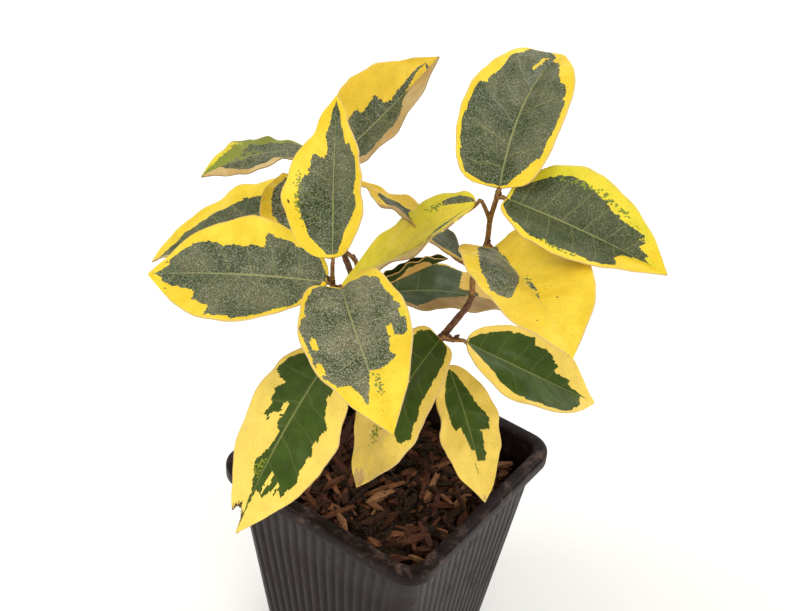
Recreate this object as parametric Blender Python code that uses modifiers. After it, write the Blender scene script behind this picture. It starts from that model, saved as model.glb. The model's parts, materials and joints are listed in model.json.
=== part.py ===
"""A young gilt edge elaeagnus in a square nursery pot.

Metres, +Z up. The origin is the middle of the pot's flat underside, and the pot's sides run along X and Y.
Limb paths and leaf bases are written in millimetres, and turned to metres where they are used.
"""

import math
import random
from collections import namedtuple

import bmesh
import bpy
from mathutils import Matrix, Vector

SEED = 27
GAP = 0.0003  # left between solids that meet

# Pot: a 9 cm square nursery pot
POT_HEIGHT = 0.100
RIM_SIDE = 0.090
RIM_DEPTH = 0.006
RIM_CORNER = 0.010
RIM_EASE = 0.0012  # rounding of the lip's outer edge
WALL_TOP_SIDE = 0.082
WALL_FOOT_SIDE = 0.061
WALL_CORNER = 0.007
WALL_THICK = 0.0014
FLOOR_THICK = 0.0020
RIBS_A_SIDE = 15
RIB_DEPTH = 0.0005
CORNER_STEPS = 4
DRAIN_RADIUS = 0.0045
DRAIN_OUT = 0.017
DRAIN_SIDES = 12

# Potting mix and the bark chips that lie in its surface
MIX_LEVEL = 0.087
MIX_SKIRT = 0.004  # the mix's edge lies this far under its level
CHIP_COUNT = 26
CHIP_LENGTH = (0.008, 0.016)
CHIP_WIDTH = (0.003, 0.005)
CHIP_THICK = 0.0022
CHIP_LEAN = 0.25
CHIP_REACH = 0.031  # half side of the square that the chips' middles keep to
STEM_CLEAR = 0.009  # chips keep this far from the stem's foot

# A limb: the limb it grows from, the height in mm at which it leaves that limb's axis (None: the ground), the
# points of its path in mm, and its radius in mm at the first and the last point
Limb = namedtuple("Limb", "host leaves_at path radii")

LIMBS = {
    "main_stem": Limb(None, None, ((-4, 6, 87), (-3, 5, 98), (1, 3, 118), (9, -1, 142), (18, -5, 163),
                                   (23, -7, 173), (28, -4, 184), (29, -3, 189)), (2.0, 1.0)),
    "left_bough": Limb("main_stem", 119, ((0, -8, 130), (-4, -20, 148), (-2, -32, 168), (1.5, -38, 184),
                                          (2.5, -40, 192)), (1.5, 1.0)),
    "back_bough": Limb("main_stem", 108, ((-7, 6, 121), (-12, 3, 145), (-16, -2, 165), (-20, -6, 182),
                                          (-22, -7, 188)), (1.5, 1.0)),
}
FLARE_RADIUS = 3.2
FLARE_HEIGHT = 6
LIMB_SIDES = 2  # bevel resolution: 8 sides
TWIG_SIDES = 1  # bevel resolution: 6 sides
PATH_STEP = 4  # mm between the points of a smoothed path

PETIOLE_RADII = (0.72, 0.5)
PETIOLE_SUNK = 0.16  # share of the blade that the petiole runs on under the midrib
PETIOLE_BEND = 0.25  # share of its length at which the petiole turns into line with the blade
BLADE_THICK = 0.0008
BLADE_STEPS = 12
BLADE_ACROSS = 4
MIDRIB_STEPS = 96
TIP_POINT = 0.95  # how the outline closes at the tip
LOBE_AT = 0.1  # share of the length where a heart-shaped base reaches back most

# A leaf: where its blade starts (mm), the way it points there (degrees: heading from +X, rise, and roll about
# its midrib), blade length and width (mm), how far it bends down, sideways and folds up (degrees), where it is
# widest (share of its length), how blunt its base is (less is blunter), how far its base reaches back beside the
# petiole (share of its length), and the point of its mass's stem that its petiole leaves from
Leaf = namedtuple("Leaf", "name base heading rise roll length width droop sweep fold widest blunt lobe joint")

# A mass of foliage: the limb that carries it, the height at which its stem leaves that limb (None: at the
# limb's tip), the stem's path and radii, and its leaves
Mass = namedtuple("Mass", "host leaves_at path radii leaves")

MASSES = {
    "front_left_tuft": Mass("left_bough", None, ((3, -42, 199), (3.4, -43, 203)), (0.95, 0.8), (
        Leaf("upright", (3, -43, 212), 131, 50, -38, 50, 31, 8, 2, 20, 0.37, 0.58, 0, 2),
        Leaf("left", (2, -43.5, 203), 198, -8, -31, 61, 38, 5, 8, 15, 0.48, 0.50, 0, 2),
        Leaf("front", (6, -42, 202), 317, 7, 17, 63, 35.5, 23, 3, 26, 0.46, 0.44, 0.05, 1),
    )),
    "right_tuft": Mass("main_stem", None, ((28, -2, 197), (30.2, 0, 208), (29.8, 1.2, 216), (31.2, 1.2, 225)),
                       (0.95, 0.8), (
        Leaf("inner", (23, -1, 198), 166, 11, 27, 52, 21, 13, 0, 4, 0.47, 0.90, 0, 1),
        Leaf("lower", (33, -1, 208), 328, 13, 5, 64, 36, 13, -10, 20, 0.46, 0.40, 0.10, 2),
        Leaf("left", (26.5, -3, 222.5), 201, -41, -7, 60.5, 31, 10, 2, 12, 0.47, 0.52, 0, 3),
        Leaf("top", (31.5, 1.5, 228), 117, 37, -9, 68, 37, 48, -16, 28, 0.36, 0.50, 0.05, 4),
        Leaf("right", (34.5, 1, 226), 8, -2, 21, 54, 34.5, 11, -4, 26, 0.42, 0.50, 0, 4),
    )),
    "back_tuft": Mass("back_bough", None, ((-26, -6.5, 197), (-29, -5, 206), (-31, -4, 211)), (0.95, 0.8), (
        Leaf("right", (-28, -3, 215.5), 48, 46, 20, 48, 31.5, -5, 2, 25, 0.42, 0.48, 0, 3),
        Leaf("left_high", (-41, -1.5, 213), 247, 20, -2, 39, 18, 42, 0, 4, 0.46, 0.50, 0, 3),
        Leaf("left_low", (-35, -4.5, 198.5), 212, -20, 0, 65, 32, 20, 2, 16, 0.49, 0.52, 0, 2),
        Leaf("middle", (-27, -18.5, 191.5), 150, 34, 0, 26.5, 26, 10, 0, 14, 0.45, 0.52, 0, 1),
    )),
    "low_right_leaves": Mass("main_stem", 170, ((26.2, -7.4, 171.8),), (1.0, 0.9), (
        Leaf("front", (23.5, -10.5, 172.5), 248, -46, 0, 61.5, 33, 32, 0, 4, 0.45, 0.44, 0.05, 1),
        Leaf("right", (30, -5, 171.5), 36, -28, 21, 55, 29, 11, 10, 13, 0.47, 0.50, 0, 1),
    )),
    "low_right_leaf": Mass("main_stem", 147, ((15.5, -1, 150.5),), (0.95, 0.85), (
        Leaf("front", (22, -1.5, 155), 337, -38, -7, 48, 24, 23, 0, 5, 0.46, 0.55, 0, 1),
    )),
    "low_left_leaf": Mass("left_bough", 165, ((-2.5, -34.5, 168),), (0.95, 0.85), (
        Leaf("front", (0.5, -37.5, 171), 255, -48, -8, 69, 38, 14, 7, -7, 0.41, 0.47, 0, 1),
    )),
    "low_back_leaves": Mass("back_bough", 160, ((-10.5, -3, 165.5),), (1.0, 0.9), (
        Leaf("right", (-5, -5, 174), 48, 5, -8, 56, 31, 40, 6, 6, 0.37, 0.50, 0, 1),
        Leaf("withered", (-3, -11, 179.5), 52, 28, 0, 26, 11, 12, 0, 72, 0.50, 0.55, 0, 1),
    )),
    "rear_tuft": Mass("back_bough", 152, ((-17.5, 4, 155), (-20, 5, 164), (-23, 4, 174)), (0.95, 0.8), (
        Leaf("low", (-21, 6.5, 155), 143, -27, 0, 56, 31, 18, 0, 10, 0.46, 0.52, 0, 1),
        Leaf("high", (-27, 1, 179), 168, 1, 0, 54, 30, 20, 0, 14, 0.45, 0.52, 0, 3),
    )),
    "low_rear_leaves": Mass("main_stem", 126, ((1, 7, 128.5),), (1.0, 0.9), (
        Leaf("left", (-2, 9.5, 129.5), 127, -15, 0, 55, 31, 16, 0, 10, 0.45, 0.52, 0, 1),
        Leaf("right", (3, 12, 130), 96, -34, 0, 50, 28, 12, 0, 10, 0.45, 0.52, 0, 1),
    )),
}

COLOURS = {
    "pot": ((0.022, 0.019, 0.020), 0.45),
    "potting_mix": ((0.060, 0.030, 0.018), 0.95),
    "bark": ((0.130, 0.062, 0.035), 0.75),
    "foliage": ((0.300, 0.330, 0.045), 0.50),
}


def material(name):
    """A Principled BSDF with the part's colour and roughness."""
    made = bpy.data.materials.get(name)
    if made is None:
        made = bpy.data.materials.new(name)
        made.use_nodes = True
        shader = made.node_tree.nodes["Principled BSDF"]
        colour, roughness = COLOURS[name]
        shader.inputs["Base Color"].default_value = (*colour, 1)
        shader.inputs["Roughness"].default_value = roughness
        shader.inputs["Metallic"].default_value = 0
    return made


def add_object(name, bm, collection, finish=None):
    """Makes the bmesh an object in a collection, and frees the bmesh."""
    bmesh.ops.recalc_face_normals(bm, faces=bm.faces)
    mesh = bpy.data.meshes.new(name)
    bm.to_mesh(mesh)
    bm.free()
    made = bpy.data.objects.new(name, mesh)
    collection.objects.link(made)
    if finish:
        mesh.materials.append(material(finish))
    return made


def add_collection(name):
    made = bpy.data.collections.new(name)
    bpy.context.scene.collection.children.link(made)
    return made


def apply_modifiers(obj):
    """Swaps the object's mesh for its evaluated one."""
    depsgraph = bpy.context.evaluated_depsgraph_get()
    done = bpy.data.meshes.new_from_object(obj.evaluated_get(depsgraph))
    obj.modifiers.clear()
    obj.data = done


def join_all(obj, collection):
    """Joins a collection's solids to an object by one Boolean union, and removes them and the collection."""
    union = obj.modifiers.new("Join", "BOOLEAN")
    union.operation = "UNION"
    union.operand_type = "COLLECTION"
    union.collection = collection
    union.solver = "EXACT"
    apply_modifiers(obj)
    for piece in list(collection.objects):
        bpy.data.objects.remove(piece)
    bpy.data.collections.remove(collection)


def rounded_square(side, corner, z, pleats=0, depth=0.0):
    """Points of a rounded square whose straight sides can be pleated into ribs."""
    points = []
    flat = side / 2 - corner
    for quarter in range(4):
        turn = Matrix.Rotation(quarter * math.pi / 2, 3, "Z")
        for k in range(CORNER_STEPS + 1):
            a = k / CORNER_STEPS * math.pi / 2
            points.append(turn @ Vector((flat + corner * math.cos(a), flat + corner * math.sin(a), z)))
        for k in range(1, pleats):
            inset = depth if k % 2 == 0 else 0.0
            points.append(turn @ Vector((flat - 2 * flat * k / pleats, side / 2 - inset, z)))
    return points


def loft(rings):
    """A closed bmesh through rings of the same number of points, capped at both ends."""
    bm = bmesh.new()
    loops = [[bm.verts.new(p) for p in ring] for ring in rings]
    count = len(loops[0])
    for low, high in zip(loops, loops[1:]):
        for k in range(count):
            bm.faces.new((low[k], low[(k + 1) % count], high[(k + 1) % count], high[k]))
    bm.faces.new(loops[0])
    bm.faces.new(loops[-1])
    return bm


def wall_side(z):
    """Outer side of the tapering wall at a height."""
    return WALL_FOOT_SIDE + (WALL_TOP_SIDE - WALL_FOOT_SIDE) * z / (POT_HEIGHT - RIM_DEPTH)


def inner_side(z):
    return wall_side(z) - 2 * (WALL_THICK + RIB_DEPTH)


def build_pot(parts, cutters):
    lip_foot = POT_HEIGHT - RIM_DEPTH
    pleats = 2 * RIBS_A_SIDE
    inner_corner = WALL_CORNER - WALL_THICK
    rings = [
        rounded_square(wall_side(0), WALL_CORNER, 0, pleats, RIB_DEPTH),
        rounded_square(wall_side(lip_foot), WALL_CORNER, lip_foot, pleats, RIB_DEPTH),
        rounded_square(RIM_SIDE, RIM_CORNER, lip_foot, pleats),
        rounded_square(RIM_SIDE, RIM_CORNER, POT_HEIGHT - RIM_EASE, pleats),
        rounded_square(RIM_SIDE - 2 * RIM_EASE, RIM_CORNER - RIM_EASE, POT_HEIGHT, pleats),
        rounded_square(inner_side(POT_HEIGHT), inner_corner, POT_HEIGHT, pleats),
        rounded_square(inner_side(FLOOR_THICK), inner_corner, FLOOR_THICK, pleats),
    ]
    pot = add_object("pot", loft(rings), parts, "pot")
    for x in (-DRAIN_OUT, DRAIN_OUT):
        for y in (-DRAIN_OUT, DRAIN_OUT):
            bm = bmesh.new()
            bmesh.ops.create_cone(
                bm, cap_ends=True, segments=DRAIN_SIDES, radius1=DRAIN_RADIUS, radius2=DRAIN_RADIUS,
                depth=FLOOR_THICK * 4, matrix=Matrix.Translation((x, y, FLOOR_THICK / 2)),
            )
            hole = add_object("drain_hole", bm, cutters)
            hole.hide_render = True
            hole.display_type = "WIRE"
    cut = pot.modifiers.new("Drain holes", "BOOLEAN")
    cut.operation = "DIFFERENCE"
    cut.operand_type = "COLLECTION"
    cut.collection = cutters
    cut.solver = "EXACT"


def build_mix(parts, rng):
    """The potting mix: a block that fills the pot to its level, with bark chips half sunk in its top."""
    low = FLOOR_THICK + GAP
    edge = MIX_LEVEL - MIX_SKIRT
    corner = WALL_CORNER - WALL_THICK
    mix = add_object("potting_mix", loft([
        rounded_square(inner_side(low) - 2 * GAP, corner, low),
        rounded_square(inner_side(edge) - 2 * GAP, corner, edge),
        rounded_square(inner_side(edge) - 2 * GAP - 2 * MIX_SKIRT, corner, MIX_LEVEL),
    ]), parts, "potting_mix")
    foot = Vector(LIMBS["main_stem"].path[0]).xy / 1000
    chips = add_collection("chips")
    placed = 0
    while placed < CHIP_COUNT:
        middle = Vector((rng.uniform(-CHIP_REACH, CHIP_REACH), rng.uniform(-CHIP_REACH, CHIP_REACH)))
        size = (rng.uniform(*CHIP_LENGTH), rng.uniform(*CHIP_WIDTH), CHIP_THICK)
        turn, lean = rng.uniform(0, math.pi), rng.uniform(-CHIP_LEAN, CHIP_LEAN)
        if (middle - foot).length < STEM_CLEAR + size[0] / 2:
            continue
        placed += 1
        bm = bmesh.new()
        bmesh.ops.create_cube(bm, size=1, matrix=(
            Matrix.Translation((*middle, MIX_LEVEL)) @ Matrix.Rotation(turn, 4, "Z")
            @ Matrix.Rotation(lean, 4, "Y") @ Matrix.Diagonal((*size, 1))
        ))
        add_object("chip", bm, chips)
    join_all(mix, chips)


def smooth_path(points, step=PATH_STEP):
    """Points every few millimetres on a smooth curve through the given ones, in metres."""
    points = [Vector(p) for p in points]
    ends = [2 * points[0] - points[1], *points, 2 * points[-1] - points[-2]]
    out = []
    for a, b, c, d in zip(ends, ends[1:], ends[2:], ends[3:]):
        count = max(1, round((c - b).length / step))
        for k in range(count):
            t = k / count
            out.append(0.5 * ((2 * b) + (c - a) * t + (2 * a - 5 * b + 4 * c - d) * t * t
                              + (3 * b - a - 3 * c + d) * t ** 3))
    out.append(points[-1])
    return [p / 1000 for p in out]


def taper(count, radii):
    """Radii in metres falling evenly from the first to the last, which are in millimetres."""
    first, last = radii
    return [(first + (last - first) * k / (count - 1)) / 1000 for k in range(count)]


def tube(name, path, radii, collection, sides, finish=None):
    """A capped tube along a path in metres, with a radius in metres at each point, as a welded mesh."""
    curve = bpy.data.curves.new(name, "CURVE")
    curve.dimensions = "3D"
    curve.bevel_depth = 1.0
    curve.bevel_resolution = sides
    curve.use_fill_caps = True
    spline = curve.splines.new("POLY")
    spline.points.add(len(path) - 1)
    for point, place, radius in zip(spline.points, path, radii):
        point.co = (*place, 1)
        point.radius = radius
    helper = bpy.data.objects.new(name, curve)
    collection.objects.link(helper)
    bpy.context.view_layer.update()
    depsgraph = bpy.context.evaluated_depsgraph_get()
    bm = bmesh.new()
    bm.from_mesh(bpy.data.meshes.new_from_object(helper.evaluated_get(depsgraph)))
    bmesh.ops.remove_doubles(bm, verts=bm.verts, dist=1e-5)
    bpy.data.objects.remove(helper)
    return add_object(name, bm, collection, finish)


def start_clear(host, leaves_at, toward, radius):
    """Where a twig of a radius starts, in mm, so that its end face just clears the host limb it grows from.

    The host is its path and radii in metres. The twig points toward a given point, from the host's tip or from
    its axis at a height.
    """
    path, radii = host
    gap = GAP * 1000
    if leaves_at is None:
        tip = path[-1] * 1000
        way = (Vector(toward) - tip).normalized()
        return tip + way * (gap + radii[-1] * 1000 * math.sin(way.angle(path[-1] - path[-2])))
    k = next(k for k in range(1, len(path)) if path[k].z * 1000 > leaves_at)
    below, above = path[k - 1] * 1000, path[k] * 1000
    axis = below.lerp(above, (leaves_at - below.z) / (above.z - below.z))
    way = (Vector(toward) - axis).normalized()
    angle = way.angle(above - below)
    reach = radii[k - 1] * 1000 + gap + radius * abs(math.cos(angle))
    return axis + way * reach / math.sin(angle)


def build_limbs(parts):
    """The stem and the boughs, and for each of them its path and radii in metres."""
    built = {}
    for name, limb in LIMBS.items():
        points = list(limb.path)
        if limb.host:
            points.insert(0, start_clear(built[limb.host], limb.leaves_at, limb.path[0], limb.radii[0]))
        path = smooth_path(points)
        radii = taper(len(path), limb.radii)
        if not limb.host:
            ground = path[0].z
            path[1].xy = path[0].xy  # upright at the ground, so that the cut is level
            path = [p + Vector((0, 0, GAP)) for p in path]
            for k, p in enumerate(path):
                share = max(0.0, 1 - (p.z - ground) * 1000 / FLARE_HEIGHT)
                radii[k] += (FLARE_RADIUS - limb.radii[0]) / 1000 * share ** 2
        tube(name, path, radii, parts, LIMB_SIDES, "bark")
        built[name] = path, radii
    return built


def leaf_axes(leaf):
    """The way the blade points where it starts, and its sideways and upward directions there."""
    heading, rise, roll = (math.radians(a) for a in (leaf.heading, leaf.rise, leaf.roll))
    along = Vector((math.cos(heading) * math.cos(rise), math.sin(heading) * math.cos(rise), math.sin(rise)))
    across = Vector((-math.sin(heading), math.cos(heading), 0))
    turn = Matrix.Rotation(roll, 3, along)
    return along, turn @ across, turn @ along.cross(across)


def leaf_midrib(leaf):
    """Place in metres, direction and axes at each of MIDRIB_STEPS + 1 points along the bending midrib."""
    along, across, up = leaf_axes(leaf)
    droop, sweep = math.radians(leaf.droop), math.radians(leaf.sweep)
    place = Vector(leaf.base) / 1000
    stations = []
    for k in range(MIDRIB_STEPS + 1):
        t = k / MIDRIB_STEPS
        level = along * math.cos(sweep * t) + across * math.sin(sweep * t)
        way = level * math.cos(droop * t) - up * math.sin(droop * t)
        side = across * math.cos(sweep * t) - along * math.sin(sweep * t)
        stations.append((place.copy(), way, side, way.cross(side)))
        place += way * leaf.length / 1000 / MIDRIB_STEPS
    return stations


def half_width(leaf, t):
    """Half the blade's width at a share of its length: blunt at the base and pointed at the tip."""
    u = t ** (math.log(0.5) / math.log(leaf.widest))
    power = leaf.blunt + (TIP_POINT - leaf.blunt) * u
    return leaf.width / 2000 * max(0.0, math.sin(math.pi * min(u, 1.0))) ** power


def leaf_blade(leaf, collection):
    """The blade as a bent, folded grid with a thickness, its rows closer together at both ends."""
    stations = leaf_midrib(leaf)
    fold = math.radians(leaf.fold)
    bm = bmesh.new()
    bmesh.ops.create_grid(bm, x_segments=BLADE_STEPS, y_segments=BLADE_ACROSS, size=1)
    for vert in bm.verts:
        row, s = (vert.co.x + 1) / 2, vert.co.y
        t = 0.5 * row + 0.25 * (1 - math.cos(math.pi * row))
        place, way, side, up = stations[round(t * MIDRIB_STEPS)]
        reach = half_width(leaf, t)
        lobe = leaf.lobe * leaf.length / 1000 * s * s * t / LOBE_AT * math.exp(1 - t / LOBE_AT)
        vert.co = (place + side * (s * reach * math.cos(fold)) + up * (abs(s) * reach * math.sin(fold))
                   - way * lobe)
    bmesh.ops.remove_doubles(bm, verts=bm.verts, dist=1e-4)
    blade = add_object(leaf.name, bm, collection)
    wall = blade.modifiers.new("Thickness", "SOLIDIFY")
    wall.thickness = BLADE_THICK
    wall.offset = 0
    apply_modifiers(blade)


def leaf_petiole(leaf, start, collection):
    """The petiole, from its mass's stem to the blade and on under the midrib."""
    base = Vector(leaf.base)
    bend = base - leaf_axes(leaf)[0] * (base - start).length * PETIOLE_BEND
    stations = leaf_midrib(leaf)
    inner = [stations[round(PETIOLE_SUNK * share * MIDRIB_STEPS)][0] * 1000 for share in (0.5, 1)]
    path = smooth_path([start, bend, base, *inner], 3)
    tube(leaf.name + "_petiole", path, taper(len(path), PETIOLE_RADII), collection, TWIG_SIDES)


def build_mass(name, mass, host, parts):
    """One mass of foliage: its stem, with petioles and blades fused on."""
    points = [start_clear(host, mass.leaves_at, mass.path[0], mass.radii[0])]
    points += [Vector(p) for p in mass.path]
    path = smooth_path(points)
    stem = tube(name, path, taper(len(path), mass.radii), parts, TWIG_SIDES, "foliage")
    pieces = add_collection(name + "_pieces")
    for leaf in mass.leaves:
        leaf_blade(leaf, pieces)
        leaf_petiole(leaf, points[leaf.joint], pieces)
    join_all(stem, pieces)


def main():
    for obj in list(bpy.data.objects):
        bpy.data.objects.remove(obj)
    parts = add_collection("gilt_edge_elaeagnus")
    cutters = add_collection("cutters")
    build_pot(parts, cutters)
    build_mix(parts, random.Random(SEED))
    limbs = build_limbs(parts)
    for name, mass in MASSES.items():
        build_mass(name, mass, limbs[mass.host], parts)


main()
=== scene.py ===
"""Looks for a young gilt edge elaeagnus in a square nursery pot.

Run as a script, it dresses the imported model: each mass of foliage is grown again by the source's rule as fine
leaves on petioles and shoots, the stem and boughs get bark, and the pot and its bark mix are modelled finely.
Limbs, petioles and leaves are measured in millimetres, as in the source, and everything else is in metres.
"""

import json
import math
import random
from collections import namedtuple

import bmesh
import bpy
from bpy.props import FloatProperty, FloatVectorProperty, IntProperty, PointerProperty
from mathutils import Matrix, Quaternion, Vector, noise

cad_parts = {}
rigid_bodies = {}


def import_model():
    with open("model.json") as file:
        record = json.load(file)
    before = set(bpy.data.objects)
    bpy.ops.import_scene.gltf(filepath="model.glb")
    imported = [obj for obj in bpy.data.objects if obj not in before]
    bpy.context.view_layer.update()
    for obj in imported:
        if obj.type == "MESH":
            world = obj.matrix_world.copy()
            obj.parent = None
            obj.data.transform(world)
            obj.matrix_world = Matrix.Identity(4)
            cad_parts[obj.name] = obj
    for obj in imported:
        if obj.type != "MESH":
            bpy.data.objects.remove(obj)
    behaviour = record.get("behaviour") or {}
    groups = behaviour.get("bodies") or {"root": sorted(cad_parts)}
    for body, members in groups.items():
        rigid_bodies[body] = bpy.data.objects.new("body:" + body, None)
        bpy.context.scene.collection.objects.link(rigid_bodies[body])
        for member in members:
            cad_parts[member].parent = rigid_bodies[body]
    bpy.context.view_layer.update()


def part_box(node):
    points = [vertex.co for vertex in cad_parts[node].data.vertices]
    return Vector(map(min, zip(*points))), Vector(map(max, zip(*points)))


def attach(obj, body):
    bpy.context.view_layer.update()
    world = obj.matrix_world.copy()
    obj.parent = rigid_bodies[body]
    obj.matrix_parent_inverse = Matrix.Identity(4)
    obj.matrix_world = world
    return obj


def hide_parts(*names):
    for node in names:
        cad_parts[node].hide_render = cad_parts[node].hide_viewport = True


bl_info = {
    "name": "Potted gilt edge elaeagnus",
    "version": (1, 0, 0),
    "blender": (4, 5, 0),
    "location": "3D View > Sidebar > Elaeagnus",
    "description": "Models a gold-margined shrub in a square nursery pot, piece by piece",
    "category": "Add Mesh",
}

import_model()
pot_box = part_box("pot")

SEED = 27  # of the strewn chips

# A limb: the limb it grows from, the height in mm at which it leaves that limb's axis (None: the ground), the
# points of its path in mm, and its radius in mm at the first and the last point
Limb = namedtuple("Limb", "host leaves_at path radii")

LIMBS = {
    "main_stem": Limb(None, None, ((-4, 6, 87), (-3, 5, 98), (1, 3, 118), (9, -1, 142), (18, -5, 163),
                                   (23, -7, 173), (28, -4, 184), (29, -3, 189)), (2.0, 1.0)),
    "left_bough": Limb("main_stem", 119, ((0, -8, 130), (-4, -20, 148), (-2, -32, 168), (1.5, -38, 184),
                                          (2.5, -40, 192)), (1.5, 1.0)),
    "back_bough": Limb("main_stem", 108, ((-7, 6, 121), (-12, 3, 145), (-16, -2, 165), (-20, -6, 182),
                                          (-22, -7, 188)), (1.5, 1.0)),
}
FLARE_RADIUS = 3.2  # of the main stem's foot
FLARE_HEIGHT = 6
SWELL = 0.14  # how much thicker a limb is where a shoot or a bough leaves it
SWELL_LENGTH = 0.0022  # in metres

PETIOLE_RADII = (0.72, 0.5)
PETIOLE_SUNK = 0.16  # share of the blade that the petiole runs on under the midrib
PETIOLE_BEND = 0.25  # share of its length at which the petiole turns into line with the blade
PETIOLE_JOIN = 0.3  # how far it lies under the blade's start
PETIOLE_DROPS = ((0.25, 0.8), (0.5, 1.1), (1, 1.0))  # then by share of the sunk stretch
PETIOLE_STEP = 0.8
PETIOLE_SIDES = 14
PETIOLE_FOOT = 0.35  # how much thicker the petiole is where it leaves its stem
PETIOLE_FOOT_LENGTH = 1.2
SHOOT_STEP = 0.6
SHOOT_SIDES = 18
BUD_LENGTHS = (0.0022, 0.0032)  # of the buds beside petioles, in metres, as the two below
TIP_BUD_LENGTH = 0.0034
BUD_OUT = 0.0009  # how far out of its stem's axis a bud starts
BUD_PLUMP = 0.27  # a bud's greatest radius to its length
BUD_RISE = 0.35  # how far its middle stands out of its place, to its length
MIDRIB_STEPS = 384
TIP_POINT = 0.95  # how the outline closes at the tip
LOBE_AT = 0.1  # share of the length where a heart-shaped base reaches back most
SIDE_VEINS = 8  # to each half of a leaf
SCURF_SIZE = 0.0003  # of a scale on a leaf, in metres

# A leaf: where its blade starts (mm), the way it points there (degrees: heading from +X, rise, and roll about
# its midrib), blade length and width (mm), how far it bends down, sideways and folds up (degrees), where it
# is widest (share of its length), how blunt its base is (less is blunter), how far its base reaches back
# beside the petiole (share of its length), and the point of its mass's stem that its petiole leaves from
Leaf = namedtuple("Leaf", "name base heading rise roll length width droop sweep fold widest blunt lobe joint")

# A mass of foliage: the limb that carries it, the height at which its stem leaves that limb (None: at the
# limb's tip), the stem's path and radii, and its leaves
Mass = namedtuple("Mass", "host leaves_at path radii leaves")

MASSES = {
    "front_left_tuft": Mass("left_bough", None, ((3, -42, 199), (3.4, -43, 203)), (0.95, 0.8), (
        Leaf("upright", (3, -43, 212), 131, 50, -38, 50, 31, 8, 2, 20, 0.37, 0.58, 0, 2),
        Leaf("left", (2, -43.5, 203), 198, -8, -31, 61, 38, 5, 8, 15, 0.48, 0.50, 0, 2),
        Leaf("front", (6, -42, 202), 317, 7, 17, 63, 35.5, 23, 3, 26, 0.46, 0.44, 0.05, 1),
    )),
    "right_tuft": Mass("main_stem", None, ((28, -2, 197), (30.2, 0, 208), (29.8, 1.2, 216), (31.2, 1.2, 225)),
                       (0.95, 0.8), (
        Leaf("inner", (23, -1, 198), 166, 11, 27, 52, 21, 13, 0, 4, 0.47, 0.90, 0, 1),
        Leaf("lower", (33, -1, 208), 328, 13, 5, 64, 36, 13, -10, 20, 0.46, 0.40, 0.10, 2),
        Leaf("left", (26.5, -3, 222.5), 201, -41, -7, 60.5, 31, 10, 2, 12, 0.47, 0.52, 0, 3),
        Leaf("top", (31.5, 1.5, 228), 117, 37, -9, 68, 37, 48, -16, 28, 0.36, 0.50, 0.05, 4),
        Leaf("right", (34.5, 1, 226), 8, -2, 21, 54, 34.5, 11, -4, 26, 0.42, 0.50, 0, 4),
    )),
    "back_tuft": Mass("back_bough", None, ((-26, -6.5, 197), (-29, -5, 206), (-31, -4, 211)), (0.95, 0.8), (
        Leaf("right", (-28, -3, 215.5), 48, 46, 20, 48, 31.5, -5, 2, 25, 0.42, 0.48, 0, 3),
        Leaf("left_high", (-41, -1.5, 213), 247, 20, -2, 39, 18, 42, 0, 4, 0.46, 0.50, 0, 3),
        Leaf("left_low", (-35, -4.5, 198.5), 212, -20, 0, 65, 32, 20, 2, 16, 0.49, 0.52, 0, 2),
        Leaf("middle", (-27, -18.5, 191.5), 150, 34, 0, 26.5, 26, 10, 0, 14, 0.45, 0.52, 0, 1),
    )),
    "low_right_leaves": Mass("main_stem", 170, ((26.2, -7.4, 171.8),), (1.0, 0.9), (
        Leaf("front", (23.5, -10.5, 172.5), 248, -46, 0, 61.5, 33, 32, 0, 4, 0.45, 0.44, 0.05, 1),
        Leaf("right", (30, -5, 171.5), 36, -28, 21, 55, 29, 11, 10, 13, 0.47, 0.50, 0, 1),
    )),
    "low_right_leaf": Mass("main_stem", 147, ((15.5, -1, 150.5),), (0.95, 0.85), (
        Leaf("front", (22, -1.5, 155), 337, -38, -7, 48, 24, 23, 0, 5, 0.46, 0.55, 0, 1),
    )),
    "low_left_leaf": Mass("left_bough", 165, ((-2.5, -34.5, 168),), (0.95, 0.85), (
        Leaf("front", (0.5, -37.5, 171), 255, -48, -8, 69, 38, 14, 7, -7, 0.41, 0.47, 0, 1),
    )),
    "low_back_leaves": Mass("back_bough", 160, ((-10.5, -3, 165.5),), (1.0, 0.9), (
        Leaf("right", (-5, -5, 174), 48, 5, -8, 56, 31, 40, 6, 6, 0.37, 0.50, 0, 1),
        Leaf("withered", (-3, -11, 179.5), 52, 28, 0, 26, 11, 12, 0, 72, 0.50, 0.55, 0, 1),
    )),
    "rear_tuft": Mass("back_bough", 152, ((-17.5, 4, 155), (-20, 5, 164), (-23, 4, 174)), (0.95, 0.8), (
        Leaf("low", (-21, 6.5, 155), 143, -27, 0, 56, 31, 18, 0, 10, 0.46, 0.52, 0, 1),
        Leaf("high", (-27, 1, 179), 168, 1, 0, 54, 30, 20, 0, 14, 0.45, 0.52, 0, 3),
    )),
    "low_rear_leaves": Mass("main_stem", 126, ((1, 7, 128.5),), (1.0, 0.9), (
        Leaf("left", (-2, 9.5, 129.5), 127, -15, 0, 55, 31, 16, 0, 10, 0.45, 0.52, 0, 1),
        Leaf("right", (3, 12, 130), 96, -34, 0, 50, 28, 12, 0, 10, 0.45, 0.52, 0, 1),
    )),
}
YOUNG_MASSES = ("front_left_tuft", "right_tuft", "back_tuft")  # their leaves still wear their scurf

# The tones of a leaf's upper side, as numbers of its material slots; its underside's slots follow them
GREEN, OLIVE, LIME, GOLD, TAN, BROWN = range(6)
GONE = -1  # torn away

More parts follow.
